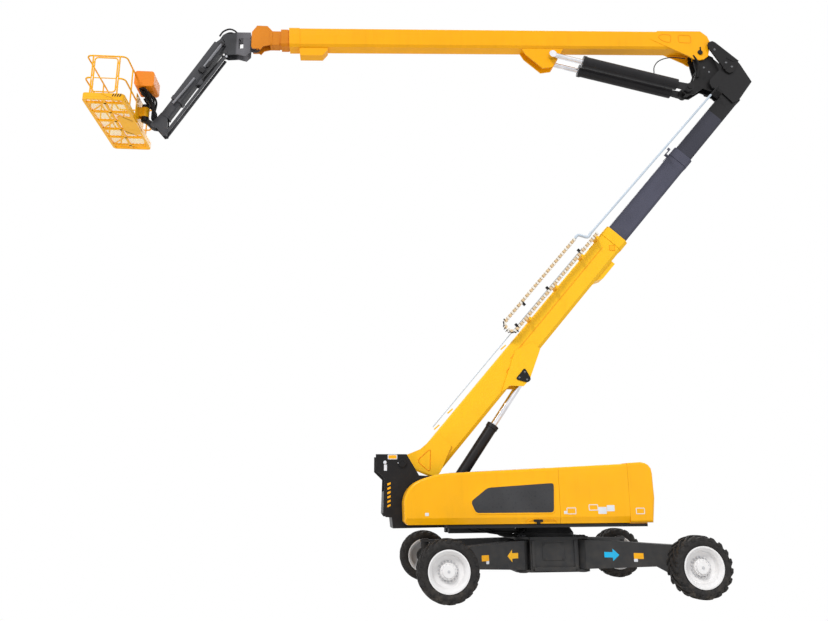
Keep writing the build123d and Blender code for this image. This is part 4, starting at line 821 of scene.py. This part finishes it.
links, clips, inside = [], [], []
count = int((straight + arc + top_run) / link_pitch)
for index in range(count):
    run, lift, angle = on_chain((index + 0.5) * link_pitch)
    turn = -(tower_turn + angle)
    place = on_tower(run, lift, chain_side)
    kind, tall = (links, 0.058) if index % 2 else (clips, 0.050)
    kind.append(box_at(place, (link_pitch * 0.80, 0.070, tall), turn))
    inside.append(box_at(place, (link_pitch * 1.02, 0.050, 0.040), turn))
chain_links = made("chain_links", links, beige_plastic, "hose_chain")
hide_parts("hose_chain")
made("chain_clips", clips + inside, chain_pale, "hose_chain")
tabs = []
for s, lift in ((0.67, 0.055), (1.89, 0.055), (4.15, -0.055), (3.05, 0.055)):
    run, level, angle = on_chain(s)
    tabs.append(box_at(on_tower(run, level + lift, chain_side), (0.11, 0.05, 0.05), -tower_turn))
band_count = 9
for step in range(band_count):
    run, level, angle = on_chain(straight + arc * (step + 0.5) / band_count)
    outward = (run_up * (run - chain_bend) + lift_up * (level - chain_middle)) / bend_radius
    spot = on_tower(run, level, chain_side) + 0.036 * outward
    tabs.append(box_at(spot, (0.06, 0.074, 0.012), -(tower_turn + angle)))
made("chain_bands", tabs, knuckle_black, "hose_chain")
conduit_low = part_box("hose_conduit")[0]
elbow = tube([on_tower(6.55, 0.275, -0.395), on_tower(6.68, 0.268, -0.393),
              (conduit_low.x + 0.02, -0.390, conduit_low.z + 0.02),
              (conduit_low.x + 0.12, -0.390, conduit_low.z + 0.14)], 0.034)
made("conduit_elbow", [elbow], pale_plastic, "tower_fly")

# Tower's head and the knuckle: bolts, stamped plates, and the hoses that pass from boom to boom.
link_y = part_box("link_plate_near")[0].y
made("head_bolts", [bolts([(5.043, link_y, 13.041), (5.307, link_y, 12.667), (5.45, link_y, 12.56)],
                          to_near, 0.045)], bolt_steel, "tower_fly")
stamps = plate(softened([(5.33, 12.80), (5.50, 12.71), (5.62, 12.76), (5.42, 12.93)], 0.03),
               (0, link_y, 0), side_x, side_z, 0.010, 0.003)
stamps += plate(softened([(5.20, 12.50), (5.28, 12.47), (5.38, 12.60), (5.30, 12.66)], 0.02),
                (0, link_y, 0), side_x, side_z, 0.010, 0.003)
made("head_stampings", stamps, knuckle_black, "tower_fly")
upright_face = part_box("upright")[0].y
made("upright_bolts", [bolts([(4.823, upright_face, 12.379), (4.70, upright_face, 12.50)], to_near, 0.04)],
     bolt_steel, "upright")
hoses = [tube([(4.50, side, 12.90), (4.60, side * 1.1, 12.70), (4.60, side * 1.1, 12.48),
               (4.56, side, 12.28)], 0.027) for side in (-0.17, -0.11, 0.12)]
made("knuckle_hoses", hoses, hose_black, "upright")
loop = tube([(3.40, -0.20, 12.33), (3.42, -0.20, 12.50), (3.53, -0.20, 12.66), (3.72, -0.20, 12.76),
             (3.95, -0.20, 12.80), (4.27, -0.18, 12.80)], 0.013)
made("boom_hose", [loop], hose_black, "upper_lift_barrels")

# Upper boom: pin with its keeper, and stamped outlines on the rear plates, in a darker orange that is
# painted shade in their creases.
rear_face = meets("upper_base", (4.2, -2.0, 13.2), to_far)[0][1]
pin_face = meets("upper_base", (4.69, -2.0, 13.10), to_far)[0][1]
pin = [turned([(0, 0), (0.066, 0), (0.066, 0.02), (0.055, 0.03), (0, 0.03)], (4.69, pin_face, 12.99),
              to_near, 28)]
pin += plate(rounded(0.03, 0.15, 0.012), (4.71, pin_face, 13.08), side_x, side_z, 0.014, 0.003)
made("upper_pin", pin, knuckle_black, "upper_base")
marks = []
for outline, soft in (([(3.60, 13.40), (3.72, 13.28), (3.93, 13.24), (3.96, 13.47), (3.70, 13.48)], 0.07),
                      ([(4.15, 13.26), (4.48, 13.26), (4.48, 13.48), (4.15, 13.48)], 0.06)):
    marks.append(bead(softened(outline, soft), (0, rear_face, 0), side_x, side_z, 0.018, 0.006))
made("upper_stampings", marks, stamp_shade_orange, "upper_base")

# Jib: steel slide rods beside it, clamps half way down, and hoses over its head.
jib_slope = 1.04
rods = [tube([(-7.43, -0.150, 12.66), (-7.62, -0.150, 12.345), (-7.81, -0.150, 12.03)], 0.032, 12, 2)]
rod_steel = paint("rod_steel", rgb(136, 136, 140), roughness=0.36, coat=0.0, dust=0.05, drift=0.2)
made("jib_slide_rod", rods, rod_steel, "jib_outer")
rods = [tube([(-8.02, -0.142, 11.72), (-8.26, -0.142, 11.35), (-8.48, -0.142, 11.03)], 0.026, 12, 2)]
made("jib_inner_rod", rods, rod_steel, "jib_inner")
clamps = [box_at((-7.72, -0.15, 12.10), (0.16, 0.05, 0.09), jib_slope),
          box_at((-7.86, -0.15, 11.93), (0.10, 0.06, 0.14), jib_slope),
          box_at((-7.42, -0.15, 12.67), (0.10, 0.05, 0.11), jib_slope)]
made("jib_clamps", clamps, barrel_black, "jib_outer")
arches = [tube([(-7.50, side, 12.93), (-7.42, side, 13.06), (-7.28, side, 13.135), (-7.15, side, 13.10),
                (-7.05, side, 13.0)], 0.020) for side in (-0.09, 0.06)]
made("jib_head_hoses", arches, hose_black, "jib_clevis")

# ---------------------------------------------------------------- platform
# A cage of tubes on a frame of channels with an open mesh floor. A rotator on the jib's levelled
# bracket turns it, and the control console hangs on its inner rail.
platform_yellow = paint("platform_yellow", rgb(252, 182, 14), roughness=0.34, coat=0.2, dust=0.05,
                        drift=0.05)
console_orange = paint("console_orange", rgb(236, 134, 16), roughness=0.4, coat=0.1, dust=0.05, drift=0.05)
dress(["platform_bracket"], knuckle_black)
dress(["platform_support", "platform_floor", "platform_rails", "gate"], platform_yellow)
dress(["console"], console_orange)

# Floor: a frame of channels with crossing beams, and expanded metal that light passes through.
floor_low, floor_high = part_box("platform_floor")
mid_x, mid_y = (floor_low.x + floor_high.x) / 2, (floor_low.y + floor_high.y) / 2
deep, broad = floor_high.x - floor_low.x, floor_high.y - floor_low.y
floor_z = floor_low.z
middle = np.array([mid_x, mid_y, 0.0])


def flat_ring(outer, inner, low_z, high_z):
    """A wall between two outlines of like count, from one height to another."""
    rows = [(outer, low_z), (outer, high_z), (inner, high_z), (inner, low_z)]
    grid = np.stack([middle + np.column_stack([ring, np.full(len(ring), z)]) for ring, z in rows])
    return surface(grid, around=True, along=True)


beam, beam_tall, beam_z = 0.056, 0.046, floor_z + 0.024
bay_count = 6
edge = rounded(deep, broad, 0.09, 8)
pieces = [flat_ring(edge, rounded(deep - 2 * beam, broad - 2 * beam, 0.04, 8), floor_z, floor_z + 0.048),
          flat_ring(edge, rounded(deep - 0.008, broad - 0.008, 0.086, 8), floor_z + 0.046, floor_high.z),
          box_at((mid_x, mid_y, beam_z), (beam, broad - beam, beam_tall))]
bays = [(row - 2.5) * broad / bay_count for row in range(bay_count)]
for y in bays:
    pieces.append(box_at((mid_x, mid_y + y, beam_z), (deep - beam, beam * 0.8, beam_tall)))
half_bay = math.hypot(deep / 2 - beam, broad / bay_count)
for index, y in enumerate(bays):
    side = -1 if index % 2 else 1
    points, faces = box_at((0, 0, 0), (half_bay, 0.022, 0.020))
    slant = math.atan2(broad / bay_count, deep / 2 - beam) * side
    c, s = math.cos(slant), math.sin(slant)
    pieces.append((points @ np.array([[c, s, 0], [-s, c, 0], [0, 0, 1]])
                   + (mid_x + side * deep / 4, mid_y + y - broad / 12, floor_z + 0.012), faces))
pieces.append(box_at((floor_high.x - 0.20, 0.0, floor_z + 0.010), (0.36, 0.86, 0.016)))
platform_frame = made("platform_frame", pieces, platform_yellow, "platform")
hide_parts("platform_floor")
strands = []
spacing = 0.042
strand, strand_faces = box_at((0, 0, 0), (0.5, 0.008, 0.003))
for slant in (0.45, -0.45):
    c, s = math.cos(slant), math.sin(slant)
    for number in range(int(broad / spacing * 1.15)):
        for side in (-1, 1):
            y = -broad / 2 + (number - 3) * spacing + side * slant * 0.22
            if abs(y) < broad / 2 - 0.14:
                turned_strand = strand * (0.86, 1, 1) @ np.array([[c, s, 0], [-s, c, 0], [0, 0, 1]])
                strands.append((turned_strand + (mid_x + side * deep / 4, mid_y + y, floor_z + 0.049),
                                strand_faces))
mesh_yellow = paint("mesh_yellow", rgb(253, 216, 96), roughness=0.5, coat=0.0, dust=0.04, drift=0.04)
made("platform_mesh", strands, mesh_yellow, "platform")
stripes = []
for step in range(4):
    stripes += plate([(-0.012, -0.035), (0.014, -0.035), (0.044, 0.035), (0.018, 0.035)],
                     (-9.52 + 0.052 * step, floor_low.y - 0.0005, floor_z + 0.105), side_x, side_z, 0.002)
made("platform_stripes", stripes, knuckle_black, "platform")
# place across the bracket, lean and radius of each hose
hose_rows = [(-0.30, 0.02, 0.030), (-0.24, 0.09, 0.026), (-0.17, 0.0, 0.034), (-0.34, -0.06, 0.024),
             (-0.12, 0.13, 0.026), (0.05, -0.08, 0.03), (-0.40, 0.05, 0.022)]
bundle = [tube([(-9.20, y, 11.235), (-9.10 + lean, y * 1.2, 11.19), (-9.00 + lean, y, 11.05),
                (-8.90, y * 0.7, 10.82), (-8.93, y * 0.4, 10.60)], radius)
          for y, lean, radius in hose_rows]
made("rotator_hoses", bundle, hose_black, "platform_bracket")
